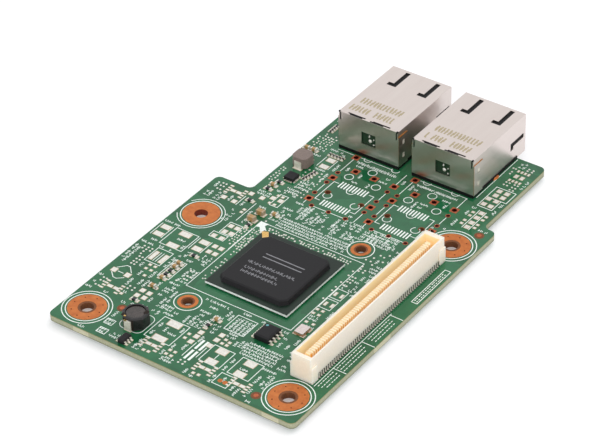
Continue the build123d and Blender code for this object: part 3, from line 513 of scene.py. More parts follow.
# White print on the board: frames, lines, circles and rows of made-up signs
silkscreen = {
    "line": 0.175, "ring": 0.22, "ink": 0.03, "sunk": 0.01, "uneven": 0.006, "seed": 11, "arcStep": 15,
    "fewestSteps": 6, "ringSides": 48, "shortest": 0.9, "dashShift": 0.1,
    "signHeight": 0.74, "signPitch": 0.6, "rowPitch": 1.0, "pen": 0.15,
    # x, y, radius
    "rings": [
        (6.0, 6.85, 4.95), (6.0, 6.85, 5.8), (62.1, 6.85, 4.95), (62.1, 6.85, 5.85), (62.1, 71.75, 4.95),
        (62.1, 71.75, 5.85), (6.0, 49.55, 4.95), (23.79, 21.13, 3.2), (45.45, 58.87, 3.2),
    ],
    # x, y, radius, start and end angle in degrees
    "arcs": [
        (6.0, 49.55, 5.75, -150, 150), (30.6, 76.4, 1.1, 180, 360), (47.8, 76.4, 1.1, 180, 360),
        (26.7, 89.6, 1.05, 180, 360), (34.7, 89.6, 1.05, 180, 360), (43.9, 89.6, 1.05, 180, 360),
        (51.9, 89.6, 1.05, 180, 360), (17.2, 7.2, 1.6, 180, 270), (20.3, 7.2, 1.6, 270, 360),
        (20.3, 10.8, 1.6, 0, 90), (17.2, 10.8, 1.6, 90, 180), (30.6, 85.6, 1.1, 0, 360),
        (26.8, 81.1, 1.1, 0, 360), (34.6, 81.1, 1.1, 0, 360), (47.8, 85.6, 1.1, 0, 360),
        (43.9, 81.1, 1.1, 0, 360), (51.9, 81.0, 1.1, 0, 360), (26.8, 72.0, 1.1, 154, 446),
        (34.7, 72.0, 1.1, 122, 414), (43.9, 72.0, 1.1, 154, 446), (51.9, 72.0, 1.1, 122, 414),
    ],
    # x and y of one corner, x and y of the other
    "frames": [
        (19.8, 25.7, 49.2, 54.8), (4.7, 35.1, 11.1, 42.0), (12.6, 43.7, 16.8, 45.8),
        (13.9, 46.2, 17.5, 50.7), (58.6, 92.7, 64.0, 97.3), (58.6, 88.5, 62.6, 92.7),
        (49.4, 40.4, 52.4, 43.9), (49.4, 36.2, 52.4, 39.7), (5.8, 28.0, 10.2, 33.4),
        (22.8, 6.3, 29.9, 14.0), (38.2, 6.2, 43.8, 12.3), (46.0, 6.2, 51.7, 12.3), (45.2, 1.6, 49.0, 5.5),
        (12.5, 4.7, 14.7, 6.5), (13.0, 1.4, 15.3, 3.2), (36.3, 18.0, 41.7, 23.6), (17.3, 61.4, 19.6, 66.2),
        (12.0, 25.0, 15.2, 32.0), (65.9, 49.2, 67.4, 63.2),
    ],
    # x and y of the start, x and y of the end
    "lines": [
        (0.7, 36.8, 0.7, 41.6), (3.9, 36.8, 3.9, 41.6), (11.7, 37.1, 11.7, 41.8), (15.1, 37.1, 15.1, 41.8),
        (17.5, 80.8, 17.5, 85.0), (20.8, 80.8, 20.8, 85.0), (34.3, 5.3, 34.3, 10.5),
        (37.3, 6.5, 37.3, 10.3), (2.4, 22.2, 4.0, 24.0), (4.0, 24.0, 4.9, 24.0), (4.9, 24.0, 6.5, 22.3),
        (2.4, 20.2, 3.8, 18.9), (3.8, 18.9, 4.8, 18.8), (4.8, 18.8, 6.2, 20.0), (7.7, 28.8, 7.7, 32.2),
        (8.4, 28.8, 8.4, 32.2), (60.2, 79.2, 60.2, 87.0), (62.1, 79.2, 62.1, 87.0),
        (26.6, 66.6, 30.1, 66.6), (31.5, 66.6, 35.0, 66.6), (43.8, 66.6, 47.2, 66.6),
        (48.6, 66.6, 52.0, 66.6), (18.0, 89.3, 34.0, 89.3), (42.0, 89.3, 55.3, 89.3),
        (24.9, 69.5, 24.9, 77.6), (36.4, 69.5, 36.4, 77.6), (42.1, 69.5, 42.1, 77.6),
        (53.6, 69.5, 53.6, 77.6), (24.9, 77.6, 26.2, 77.6), (35.1, 77.6, 36.4, 77.6),
        (42.1, 77.6, 43.4, 77.6), (52.3, 77.6, 53.6, 77.6), (24.9, 69.5, 26.2, 69.5),
        (35.1, 69.5, 36.4, 69.5), (42.1, 69.5, 43.4, 69.5), (52.3, 69.5, 53.6, 69.5),
        (64.6, 13.0, 64.6, 43.0), (64.7, 20.2, 68.0, 20.2), (64.7, 31.2, 68.0, 31.2),
        (64.7, 42.5, 68.0, 42.5), (56.85, 91.0, 56.85, 109.6), (19.7, 42.0, 19.7, 51.0),
        (14.5, 52.0, 14.5, 60.0), (10.7, 57.0, 10.7, 61.0), (41.0, 8.4, 41.0, 10.0), (3.5, 21.2, 5.0, 21.2),
        (17.2, 5.6, 20.3, 5.6), (21.9, 7.2, 21.9, 10.8), (17.2, 12.4, 20.3, 12.4), (15.6, 7.2, 15.6, 10.8),
    ],
    # Sides of the spare sockets: x, first and last y, and where along y a pad or a via breaks the line
    "brokenLines": [
        (23.6, 66.6, 89.3, (68.75, 71.4, 76.4, 78.7, 81.1, 88.7)),
        (38.0, 66.6, 89.3, (71.3, 73.7, 76.4, 81.1, 83.75)),
        (40.8, 66.6, 89.3, (68.75, 71.3, 76.4, 78.7, 81.1, 88.7)),
        (55.2, 66.6, 89.3, (71.2, 73.7, 76.3, 81.1, 83.75))],
    "breakHalf": 0.95,
    # Dash columns: x, first and last y
    "dashColumns": [
        (65.3, 13.5, 19.8), (66.2, 13.5, 19.8), (67.1, 14.2, 19.8), (65.3, 20.8, 30.8), (66.2, 20.8, 30.8),
        (67.1, 20.8, 30.4), (65.3, 32.7, 41.8), (66.2, 32.7, 41.8), (67.1, 33.0, 41.8), (66.35, 49.8, 62.8),
        (66.95, 49.8, 62.8)],
    "dash": 0.4, "dashPitch": 0.88, "bold": 0.6,
    "boldLines": [
        (35.3, 9.0, 35.3, 11.9), (36.45, 9.0, 36.45, 11.9), (35.3, 5.0, 35.3, 7.9), (36.45, 5.0, 36.45, 7.9)],
    # Finger rows: x of the first and last, y of the lower and upper ends
    "fingers": [
        (26.9, 34.1, 76.4, 78.5), (27.3, 34.7, 68.2, 70.1), (44.1, 51.4, 76.4, 78.4),
        (44.55, 51.8, 68.2, 70.1)],
    "fingerPitch": 0.81, "fingerWidth": 0.38,
    # x and y of one corner, x and y of the other, share of sign places filled, whether the rows run along y
    "signBlocks": [
        (12.7, 4.9, 14.6, 6.4, 1.0, 0), (13.2, 1.6, 15.2, 3.1, 1.0, 0), (44.4, 12.9, 53.6, 17.6, 1.0, 0),
        (23.5, 55.5, 43.0, 59.6, 0.97, 0), (44.0, 62.0, 52.0, 66.0, 0.6, 1),
        (25.0, 60.2, 27.4, 66.2, 0.75, 1), (28.6, 60.2, 31.2, 66.2, 0.6, 1),
        (33.6, 60.0, 37.0, 63.6, 0.6, 1), (38.4, 60.0, 42.2, 63.4, 0.7, 1),
        (28.4, 14.8, 32.0, 19.0, 0.8, 1), (36.6, 18.3, 41.6, 23.4, 1.0, 1),
        (38.5, 16.0, 41.0, 17.6, 0.8, 0), (31.7, 1.5, 34.5, 3.0, 0.8, 0), (16.5, 21.0, 20.0, 24.0, 0.8, 0),
        (18.5, 16.0, 20.3, 20.5, 0.7, 1), (20.5, 16.0, 23.3, 18.2, 0.7, 0), (53.5, 6.0, 56.0, 11.0, 0.8, 1),
        (52.0, 11.3, 56.0, 12.5, 0.8, 0), (24.0, 62.5, 27.0, 66.0, 0.8, 1),
        (30.6, 62.2, 32.0, 65.5, 0.8, 1), (33.8, 62.2, 35.1, 66.0, 0.8, 1),
        (36.2, 63.9, 42.0, 66.4, 0.75, 0), (27.8, 59.8, 29.7, 62.5, 0.7, 1),
        (32.2, 59.8, 33.3, 62.0, 0.8, 1), (35.7, 59.7, 37.7, 61.4, 0.8, 0),
        (40.2, 60.2, 41.9, 61.8, 0.8, 0), (25.6, 86.9, 36.8, 87.9, 0.92, 0),
        (42.6, 87.1, 52.6, 88.1, 0.92, 0), (42.5, 61.8, 52.0, 66.4, 0.85, 0),
        (1.4, 56.3, 3.1, 59.2, 0.8, 1), (0.5, 25.0, 2.2, 33.0, 0.7, 1), (0.4, 12.9, 2.6, 13.8, 0.8, 0),
        (0.4, 15.1, 1.8, 16.1, 0.8, 0), (0.4, 17.9, 2.4, 18.9, 0.8, 0), (8.3, 0.6, 10.5, 1.6, 0.9, 0),
        (55.1, 0.5, 56.9, 1.4, 0.9, 0), (39.6, 0.5, 41.2, 1.4, 0.9, 0), (26.0, 0.6, 27.4, 1.6, 0.9, 0),
        (58.4, 107.0, 60.2, 109.8, 0.8, 1), (16.5, 88.0, 20.5, 89.2, 0.8, 0),
        (21.3, 81.0, 22.4, 84.6, 0.9, 1), (21.0, 76.0, 22.1, 80.5, 0.9, 1),
        (25.0, 87.2, 36.5, 88.3, 0.75, 0), (42.3, 87.2, 54.0, 88.3, 0.75, 0),
        (10.6, 12.6, 12.6, 14.0, 0.8, 0), (16.0, 13.0, 20.4, 15.4, 0.6, 0),
        (16.0, 26.0, 19.4, 33.0, 0.45, 1), (10.6, 28.4, 11.7, 33.0, 0.7, 1),
        (5.0, 33.8, 10.0, 34.8, 0.6, 0), (11.4, 33.4, 13.2, 36.6, 0.6, 1),
        (16.2, 33.6, 19.2, 37.4, 0.55, 0), (16.0, 52.0, 19.2, 53.6, 0.6, 0),
        (10.6, 50.6, 12.6, 56.0, 0.6, 1), (4.0, 56.2, 6.0, 60.0, 0.6, 1), (12.0, 63.6, 15.8, 65.6, 0.6, 0),
        (20.0, 56.8, 23.0, 61.6, 0.6, 1), (17.6, 67.0, 21.8, 69.6, 0.7, 0),
        (18.4, 70.6, 22.0, 74.6, 0.7, 0), (12.0, 83.0, 16.6, 85.0, 0.7, 0),
        (12.8, 86.4, 16.2, 87.8, 0.6, 0), (15.0, 94.6, 17.0, 99.0, 0.6, 1),
        (11.0, 99.0, 14.6, 103.0, 0.5, 0), (50.0, 44.4, 53.0, 47.0, 0.5, 0),
        (49.8, 31.2, 53.0, 32.8, 0.7, 0), (49.6, 28.6, 53.4, 29.6, 0.7, 0),
        (47.2, 24.2, 50.0, 25.2, 0.7, 0), (26.2, 24.0, 34.0, 25.2, 0.5, 0),
        (42.6, 14.6, 44.2, 17.2, 0.7, 1), (32.0, 17.6, 35.6, 20.0, 0.6, 0),
        (54.0, 76.0, 58.6, 77.2, 0.6, 0), (63.0, 80.0, 67.4, 81.2, 0.6, 0),
        (62.8, 99.6, 64.2, 103.4, 0.7, 1), (53.6, 67.2, 54.9, 75.8, 0.5, 1), (30.2, 1.6, 31.4, 3.2, 0.8, 1),
        (16.4, 1.6, 18.8, 3.6, 0.7, 0), (23.0, 1.4, 24.8, 5.4, 0.7, 1), (43.8, 1.4, 44.8, 5.4, 0.7, 1),
        (52.8, 1.8, 54.2, 5.2, 0.7, 1),
    ],
}


def strokePoint(x0, y0, x1, y1, width, middle):
    length = math.hypot(x1 - x0, y1 - y0) + width
    turn = (0, 0, math.atan2(y1 - y0, x1 - x0))
    return flatPoint((x0 + x1) / 2, (y0 + y1) / 2, length, width, middle, turn)


# Made-up signs of two short strokes in a unit square, none of them a letter or a number
signShapes = (
    ((0, 0, 0, 0.6), (1, 0.4, 1, 1)), ((0, 0.4, 0, 1), (1, 0, 1, 0.6)), ((0, 0, 0, 1), (1, 0.25, 1, 0.75)),
    ((0, 0.25, 0, 0.75), (1, 0, 1, 1)), ((0, 0, 0, 1), (0.5, 0.5, 1, 0.5)), ((0, 0.2, 0, 1), (0.6, 0, 1, 0)))
# Signs are this many pen widths narrower than their pitch
signGap = 1.6


def signStrokes(block, size, middle, chance):
    x0, y0, x1, y1, fill, turned = block
    tall, pitch, rows, pen = size
    wide = pitch - signGap * pen
    along, across = (y1 - y0, x1 - x0) if turned else (x1 - x0, y1 - y0)
    found = []
    for row in range(max(1, round(across / rows))):
        for place in range(int(along / pitch)):
            if chance.random() > fill:
                continue
            for a, b, c, d in chance.choice(signShapes):
                ends = []
                for u, v in ((a, b), (c, d)):
                    u, v = u * wide + place * pitch, v * (tall - pen) + row * rows
                    ends += [x1 - v, y0 + u] if turned else [x0 + u, y0 + v]
                found.append(strokePoint(*ends, pen, middle))
    return found


def printSize(look):
    return look["signHeight"], look["signPitch"], look["rowPitch"], look["pen"]


def silkscreenPoints(look):
    chance = random.Random(look["seed"])
    line, middle = look["line"], look["ink"] / 2 - look["sunk"]
    points = []
    for x, y, radius, start, end in look["arcs"]:
        count = max(look["fewestSteps"], round(abs(end - start) / look["arcStep"]))
        turns = [math.radians(start + (end - start) * i / count) for i in range(count + 1)]
        spots = [(x + radius * math.cos(turn), y + radius * math.sin(turn)) for turn in turns]
        points += [strokePoint(*a, *b, line, middle) for a, b in zip(spots, spots[1:])]
    for x0, y0, x1, y1 in look["frames"]:
        for ends in ((x0, y0, x1, y0), (x1, y0, x1, y1), (x1, y1, x0, y1), (x0, y1, x0, y0)):
            points.append(strokePoint(*ends, line, middle))
    points += [strokePoint(*ends, line, middle) for ends in look["lines"]]
    points += [strokePoint(*ends, look["bold"], middle) for ends in look["boldLines"]]
    for x0, x1, y0, y1 in look["fingers"]:
        for i in range(round((x1 - x0) / look["fingerPitch"]) + 1):
            x = x0 + i * look["fingerPitch"]
            points.append(strokePoint(x, y0, x, y1, look["fingerWidth"], middle))
    for x, y0, y1, breaks in look["brokenLines"]:
        starts = [y0] + [y + look["breakHalf"] for y in breaks]
        ends = [y - look["breakHalf"] for y in breaks] + [y1]
        points += [
            strokePoint(x, a, x, b, line, middle) for a, b in zip(starts, ends) if b - a > look["shortest"]]
    for x, y0, y1 in look["dashColumns"]:
        for i in range(int((y1 - y0) / look["dashPitch"])):
            y = y0 + i * look["dashPitch"] + chance.uniform(-look["dashShift"], look["dashShift"])
            points.append(strokePoint(x, y, x, y + look["dash"], line, middle))
    for block in look["signBlocks"]:
        points += signStrokes(block, printSize(look), middle, chance)
    return unevenStrokes(points, look["uneven"], chance)


growBars("whitePrint", silkscreenPoints(silkscreen), silkscreen["ink"], screenInk)
growRings("whiteRings", [flatPoint(x, y, radius, radius) for x, y, radius in silkscreen["rings"]], (
    silkscreen["ring"], silkscreen["ink"], silkscreen["ringSides"]), screenInk)

# Bare tinned lands where no part is fitted, and the solder that shows round the parts that are
landSets = {
    "shape": (4, 0.88, 0.06), "rimShape": (4, 0.96, 0.03), "rim": (0.2, 0.1),
    # Size along x and y, then places
    "sets": [
        (3.5, 1.9, [(26.4, 12.9), (26.5, 7.2)]),
        (2.7, 1.9, [(41.0, 11.2), (41.0, 7.2), (48.75, 11.2), (48.8, 7.2)]),
        (2.4, 1.6, [(2.4, 40.7), (2.4, 37.7), (13.6, 40.9), (13.6, 38.0)]),
        (3.0, 1.7, [(8.0, 40.9), (8.0, 35.9)]),
        (2.2, 1.6, [(19.3, 84.3), (19.3, 81.3)]),
        (1.4, 1.5, [(2.4, 21.2), (6.3, 21.2)]),
        (1.0, 3.4, [(6.7, 30.5), (9.5, 30.5)]),
        (1.4, 0.9, [
            (5.4, 15.9), (7.2, 15.9), (25.5, 4.5), (27.2, 4.5), (40.4, 4.5), (42.1, 4.5), (50.0, 4.2),
            (51.7, 4.2), (6.8, 61.2), (8.5, 61.2)]),
        (0.9, 1.4, [(60.2, 103.5), (61.8, 103.5)]),
        (1.2, 1.3, [
            (12.7, 18.7), (14.7, 18.6), (12.7, 16.6), (14.7, 16.7), (33.0, 14.0), (33.0, 12.3), (33.0, 10.2),
            (37.5, 15.8), (37.5, 13.8), (37.4, 11.4), (16.5, 41.1), (18.3, 41.1), (16.5, 38.7), (18.3, 38.7),
            (13.7, 44.4), (15.9, 44.4), (14.9, 49.5), (16.7, 49.5), (14.9, 47.0), (16.7, 47.1), (6.5, 57.9),
            (9.6, 57.8), (11.2, 62.6), (14.4, 62.6), (16.6, 64.0), (18.8, 64.0), (60.1, 96.1), (62.2, 96.1),
            (60.2, 94.2), (62.2, 94.2), (59.5, 92.2), (61.6, 92.2), (59.6, 89.8), (61.5, 89.8), (61.2, 86.3),
            (61.2, 84.2), (61.2, 81.9), (61.2, 79.9)]),
        (0.6, 1.4, [(50.1, 42.0), (51.8, 42.0), (50.2, 37.9), (51.9, 38.0)]),
        (0.7, 0.7, [
            (31.0, 5.3), (32.4, 5.3), (31.0, 3.8), (32.4, 3.8), (31.1, 12.1), (31.1, 10.5), (39.2, 15.0),
            (39.2, 13.5), (40.5, 14.6), (40.5, 13.5), (26.0, 2.1), (27.3, 2.2), (40.0, 1.9), (41.4, 2.0),
            (8.2, 27.2), (9.7, 27.2), (8.2, 25.6), (9.7, 25.6), (9.6, 23.3), (9.3, 15.1), (14.9, 20.9),
            (49.8, 35.2), (51.3, 35.2), (49.8, 33.6), (51.3, 33.6), (50.3, 30.2), (52.2, 30.2), (13.6, 56.5),
            (13.6, 55.3), (17.1, 65.5), (18.4, 65.5), (17.0, 62.0), (18.4, 62.0), (59.3, 85.6), (62.9, 85.6),
            (59.3, 84.1), (62.9, 84.1), (59.3, 81.9), (62.9, 81.9), (59.3, 80.5), (62.9, 80.5)]),
    ],
    # Eight-lead places without a chip, four leads a side: middle, then whether turned
    "leadSteps": (-1.5, -0.5, 0.5, 1.5),
    "leadPitch": 0.95, "leadReach": 2.1, "leadSize": (0.9, 0.45),
    "leadGroups": [
        (6.05, 15.9, 0), (26.3, 4.5, 0), (41.2, 4.5, 0), (50.8, 4.2, 0), (7.6, 61.2, 0), (61.0, 103.5, 1)],
    # Solder round fitted parts: half distance of its two lands, land size, then middle and whether turned
    "fitted": [
        (0.95, 0.9, 1.5, [(17.5, 54.1, 0), (17.9, 57.2, 0)]),
        (0.8, 0.75, 1.05, [
            (21.0, 58.6, 0), (13.6, 68.2, 0), (11.35, 85.4, 0), (13.35, 85.5, 0), (13.75, 21.1, 0),
            (13.65, 24.7, 0), (13.65, 29.5, 0), (13.65, 31.1, 0), (33.4, 19.4, 0), (12.6, 60.1, 0),
            (13.4, 66.4, 0), (14.2, 70.0, 0), (18.1, 51.8, 1), (13.65, 26.3, 0), (13.65, 27.9, 0),
            (13.3, 14.9, 0), (14.7, 35.4, 0), (32.8, 16.6, 1)]),
        (0.48, 0.45, 0.65, [
            (17.6, 86.2, 1), (18.55, 86.2, 1), (19.5, 86.2, 1), (20.45, 86.2, 1), (21.4, 86.2, 1),
            (18.2, 74.4, 0), (18.4, 75.3, 0), (18.6, 76.2, 0), (18.8, 77.1, 0), (19.0, 78.0, 0),
            (12.2, 94.4, 0), (12.2, 95.3, 0), (12.2, 96.2, 0), (12.2, 97.1, 0)]),
        (2.35, 0.95, 0.55, [(46.1, 21.2 + 1.27 * i, 0) for i in (-1.5, -0.5, 0.5, 1.5)]),
        (1.2, 0.7, 0.5, [(20.5, 2.3 + 0.95 * i, 0) for i in (-1, 0, 1)]),
        (2.9, 0.9, 1.8, [(18.9, 8.6, 1)]),
        (2.3, 1.1, 2.4, [(14.4, 79.5, 1)]),
        (1.0, 1.0, 1.2, [(51.6, 25.7, 0), (51.6, 27.9, 0)]),
        (1.5, 0.5, 0.3, [(15.5, 73.1 + 0.6 * i, 0) for i in (-1.5, -0.5, 0.5, 1.5)]),
        (1.5, 0.5, 0.3, [(15.5 + 0.6 * i, 73.1, 1) for i in (-1.5, -0.5, 0.5, 1.5)]),
    ],
}


def landPoints(look):
    points = [flatPoint(x, y, wide, deep) for wide, deep, places in look["sets"] for x, y in places]
    # A pair of lands on two sides of a middle, along x, or along y when turned
    pairs = [
        (x + (step * look["leadPitch"] if turned else 0), y + (0 if turned else step * look["leadPitch"]),
         look["leadReach"], *look["leadSize"], turned)
        for x, y, turned in look["leadGroups"] for step in look["leadSteps"]]
    pairs += [
        (x, y, half, wide, deep, turned)
        for half, wide, deep, places in look["fitted"] for x, y, turned in places]
    for x, y, half, wide, deep, turned in pairs:
        for reach in (-half, half):
            points.append(
                flatPoint(x, y + reach, deep, wide) if turned else flatPoint(x + reach, y, wide, deep))
    return points


lands = landPoints(landSets)
growPads("tinnedLands", lands, landSets["shape"], tinSolder)
rimWide, rimDeep = mm(*landSets["rim"])
rims = [(spot, (size[0] + rimWide, size[1] + rimDeep, 1.0), turn) for spot, size, turn in lands]
growPads("landRims", rims, landSets["rimShape"], fluxedCopper)

# Test points and open vias, bright round dots on the board
dotSets = {
    "size": 0.52, "shape": (10, 0.8, 0.05), "seed": 5,
    # Columns of x, rows of y
    "grids": [
        ((2.2, 3.1), (17.6, 16.4, 14.6)), ((9.3, 10.6), (17.4, 18.4)), ((35.0, 36.2), (3.9, 3.0)),
        ((2.65,), (32.2, 31.3)), ((3.8, 4.9), (32.2, 31.3)), ((3.7,), (30.4, 29.4)),
        ((4.1, 5.0), (28.4, 27.3, 26.2, 25.3)), ((17.9, 18.8), (28.6, 27.3)), ((17.5, 19.1), (30.5,)),
        ((16.8,), (25.9,)), ((3.0, 3.9), (62.4, 61.3, 59.9)), ((20.6,), (55.6,)), ((48.6, 49.9), (56.4,)),
        ((50.9,), (55.5,)), ((49.8,), (57.9,)), ((50.6,), (59.5,)), ((52.4,), (57.7, 60.6)),
        ((51.7,), (59.3,)), ((49.4,), (53.8,)), ((49.6, 50.8), (52.8, 51.9)),
        ((49.7, 50.5), (49.3, 48.2, 47.2, 45.7)), ((59.4, 60.3, 61.7, 62.6), (100.3, 99.1)),
        ((61.7, 62.6), (98.0,)), ((61.3, 62.5), (107.7, 106.9)), ((58.3,), (104.6, 103.7)),
        ((57.8, 58.5), (106.1,)), ((48.6,), (39.2, 42.7, 44.2, 46.3, 49.3, 51.1)),
    ],
    # Rows of small vias: first and last x, first and last y, pitch along x and y
    "viaSize": 0.46, "viaSpread": (0.8, 1.15), "viaShare": 0.78, "viaShift": 0.16,
    "viaFields": [
        (23.3, 46.3, 52.9, 53.7, 0.76, 0.8), (21.3, 22.0, 30.0, 51.0, 0.7, 1.2),
        (17.0, 21.6, 68.0, 79.0, 1.25, 1.3), (18.0, 22.0, 44.0, 51.0, 0.8, 0.9),
        (11.2, 15.6, 87.6, 93.4, 0.86, 0.9), (11.1, 12.2, 70.0, 76.0, 0.9, 0.95),
    ],
}


def gridSteps(start, end, pitch):
    return [start + i * pitch for i in range(int((end - start) / pitch + 0.5) + 1)]


def dotPoints(look):
    chance = random.Random(look["seed"])
    shift = (-look["viaShift"], look["viaShift"])
    points = [
        flatPoint(x, y, look["size"], look["size"])
        for columns, rows in look["grids"] for x in columns for y in rows]
    for x0, x1, y0, y1, stepX, stepY in look["viaFields"]:
        for x in gridSteps(x0, x1, stepX):
            for y in gridSteps(y0, y1, stepY):
                if chance.random() < look["viaShare"]:
                    side = look["viaSize"] * chance.uniform(*look["viaSpread"])
                    points.append(flatPoint(
                        x + chance.uniform(*shift), y + chance.uniform(*shift), side, side))
    return points


growPads("testDots", dotPoints(dotSets), dotSets["shape"], tinSolder)

# Holes: brown linings, washers of bare laminate round the unplated ones, open vias of the spare sockets, and
# flat near-black discs of painted hole shade
holeSets = {
    "boardThick": 1.6, "liningWidth": 0.06, "liningSlack": 0.01,
    "mountHoles": [(6.0, 6.85), (62.1, 6.85), (62.1, 71.75)], "platedHole": (6.0, 49.55), "mountRadius": 1.65,
    "mountBare": 2.18, "sinkHoles": [(23.79, 21.13), (45.45, 58.87)], "sinkRadius": 1.32, "sinkBare": 1.66,
    "fiducials": [(55.93, 3.42), (65.4, 78.6), (12.8, 11.0)], "fiducialDot": 0.58, "fiducialOpening": 1.2,
    "padDotRadius": 3.6, "padDotSize": 0.3, "padDotCount": 8, "copper": 0.05, "washer": 0.03,
    "spareVias": [
        (23.5, 81.1), (23.5, 76.4), (23.5, 71.4), (37.9, 81.1), (37.9, 76.4), (37.9, 71.3), (25.9, 66.7),
        (30.8, 66.7), (35.65, 66.7), (40.7, 81.1), (40.75, 76.4), (40.75, 71.3), (55.15, 81.1), (55.15, 76.3),
        (55.2, 71.2), (43.1, 66.7), (47.9, 66.7), (52.7, 66.6)],
    "viaHole": 0.98, "viaCollar": 1.3, "padHoleRadius": 0.55, "padRim": 0.14, "pegRim": 0.2, "pegRadius": 0.7,
    "sparePads": [(0, 22.1), (3.2, 17.15), (8.65, 17.15), (14.4, 17.15), (0, 12.1), (14.4, 7.1), (0, 2.15)],
    "sparePegs": [(2.4, 6.6), (12.0, 6.6)], "spareCorners": [(23.7, 66.6), (40.85, 66.6)],
    "roundPads": [(46.5, 3.1), (47.8, 3.1)], "roundPadSize": 1.2,
    "padLining": 0.495, "pegLining": 0.644, "rimProud": 0.04, "viaShape": (12, 0.9, 0.03),
    "roundShape": (16, 0.92, 0.05),
    "sides": {
        "drilledWalls": 32, "platedWall": 32, "padHoleWalls": 12, "padHoleRims": 16, "pegRims": 20,
        "pegHoleWalls": 16, "mountWashers": 36, "sinkWashers": 36, "fiducialOpenings": 24, "viaCollars": 16},
}


def holePieces(look):
    lining, copper, washer = look["liningWidth"], look["copper"], look["washer"]
    depth, half = look["boardThick"] - look["liningSlack"], -look["boardThick"] / 2
    pads, pegs = (
        [(left + x, front + y) for left, front in look["spareCorners"] for x, y in look[key]]
        for key in ("sparePads", "sparePegs"))
    mount, sink, dot = look["mountRadius"], look["sinkRadius"], look["fiducialDot"]
    mountBare, sinkBare, opening = look["mountBare"], look["sinkBare"], look["fiducialOpening"]
    hole, collar = look["viaHole"] / 2, look["viaCollar"] / 2
    drilled = ringPoints(look["mountHoles"], mount - lining / 2, half)
    drilled += ringPoints(look["sinkHoles"], sink - lining / 2, half)
    padRim = look["padHoleRadius"] + look["padRim"] / 2 - lining
    pegRim = look["pegRadius"] + look["pegRim"] / 2 - lining
    for name, points, width, height, material in (
            ("drilledWalls", drilled, lining, depth, drilledLaminate),
            ("platedWall", ringPoints([look["platedHole"]], mount - lining / 2, half), lining, depth,
             platedBarrel),
            ("padHoleWalls", ringPoints(pads, look["padLining"], half), lining, depth, viaBarrelAndHoleShade),
            ("padHoleRims", ringPoints(pads, padRim), look["padRim"], 2 * copper + look["rimProud"],
             viaBarrelAndHoleShade),
            ("pegRims", ringPoints(pegs, pegRim), look["pegRim"], 2 * washer, drilledLaminate),
            ("pegHoleWalls", ringPoints(pegs, look["pegLining"], half), lining, depth, drilledLaminate),
            ("mountWashers", ringPoints(look["mountHoles"], (mount + mountBare) / 2), mountBare - mount,
             washer, drilledLaminate),
            ("sinkWashers", ringPoints(look["sinkHoles"], (sink + sinkBare) / 2), sinkBare - sink, washer,
             drilledLaminate),
            ("fiducialOpenings", ringPoints(look["fiducials"], (dot + opening) / 2), opening - dot, washer,
             drilledLaminate),
            ("viaCollars", ringPoints(look["spareVias"], (hole + collar) / 2), collar - hole, copper,
             redCopper)):
        growRings(name, points, (width, height, look["sides"][name]), material)
    # Painted hole shade: flat dark discs at the open vias and round the mounting holes
    holeShadeDiscs = ringPoints(look["spareVias"], look["viaHole"])
    step = 2 * math.pi / look["padDotCount"]
    for x, y in look["mountHoles"]:
        dots = [
            (x + look["padDotRadius"] * math.cos(i * step), y + look["padDotRadius"] * math.sin(i * step))
            for i in range(look["padDotCount"])]
        holeShadeDiscs += ringPoints(dots, look["padDotSize"], copper)
    growPads("viaHoles", holeShadeDiscs, look["viaShape"], viaBarrelAndHoleShade)
    growPads("roundPads", ringPoints(look["roundPads"], look["roundPadSize"]), look["roundShape"], bareCopper)


holePieces(holeSets)


# A box by its middle, its foot height and its size, all in millimetres, for the bar tree at height 1
def boxPoint(x, y, foot, wide, deep, tall):
    return (onBoard(x, y, foot + tall / 2), mm(wide, deep, tall), (0, 0, 0))


def growBoxes(name, points, material):
    growPiece(name, barTree, points, {"Height": 1.0, "Material": material})


# A solid slab: corners on the board, foot and top height
def addSlab(name, corners, foot, top, material):
    solid = bmesh.new()
    low = [solid.verts.new(onBoard(x, y, foot)) for x, y in corners]
    high = [solid.verts.new(onBoard(x, y, top)) for x, y in corners]
    solid.faces.new(low[::-1])
    solid.faces.new(high)
    for i in range(len(corners)):
        j = (i + 1) % len(corners)
        solid.faces.new((low[i], low[j], high[j], high[i]))
    bmesh.ops.recalc_face_normals(solid, faces=solid.faces)
    mesh = bpy.data.meshes.new(name)
    solid.to_mesh(mesh)
    solid.free()
    mesh.materials.append(material)
    piece = bpy.data.objects.new(name, mesh)
    bpy.context.scene.collection.objects.link(piece)
    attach(piece, "root")
    print(name, len(corners), "corners")


# Connector: ribs across the tongue, the legs of the contacts down to their tails, and near-black strips of
# painted shade between the rows
connector = {
    "x": 61.15, "y": 39.6, "pitch": 0.8, "count": 60, "ribSize": (1.5, 0.36, 3.4), "ribFoot": 2.5,
    "ribShift": 0.15,
    "legOffset": 2.63, "legSize": (0.12, 0.32, 1.19), "backShadeOffset": 2.47, "backShadeSize": (0.2, 48.5, 1.18),
    "shadowOffset": 2.8, "shadowSize": (0.4, 48.0, 0.02),
}


def connectorPieces(look):
    rows = [look["y"] + (i - (look["count"] - 1) / 2) * look["pitch"] for i in range(look["count"])]
    between = [y + look["pitch"] / 2 for y in rows[:-1]]
    growBoxes("tongueRibs", [
        boxPoint(look["x"] + look["ribShift"], y, look["ribFoot"], *look["ribSize"]) for y in between],
        ribPolymer)
    sides = (-1, 1)
    growBoxes("contactLegs", [
        boxPoint(look["x"] + hand * look["legOffset"], y, 0, *look["legSize"])
        for hand in sides for y in rows], tinnedClip)
    # Painted shade: an upright near-black strip behind each row of legs, and a flat one on the board beyond
    # them
    growBoxes("resinStrips", [
        boxPoint(look["x"] + hand * look[part + "Offset"], look["y"], 0.0, *look[part + "Size"])
        for part in ("backShade", "shadow") for hand in sides], gapShadeBrown)


connectorPieces(connector)
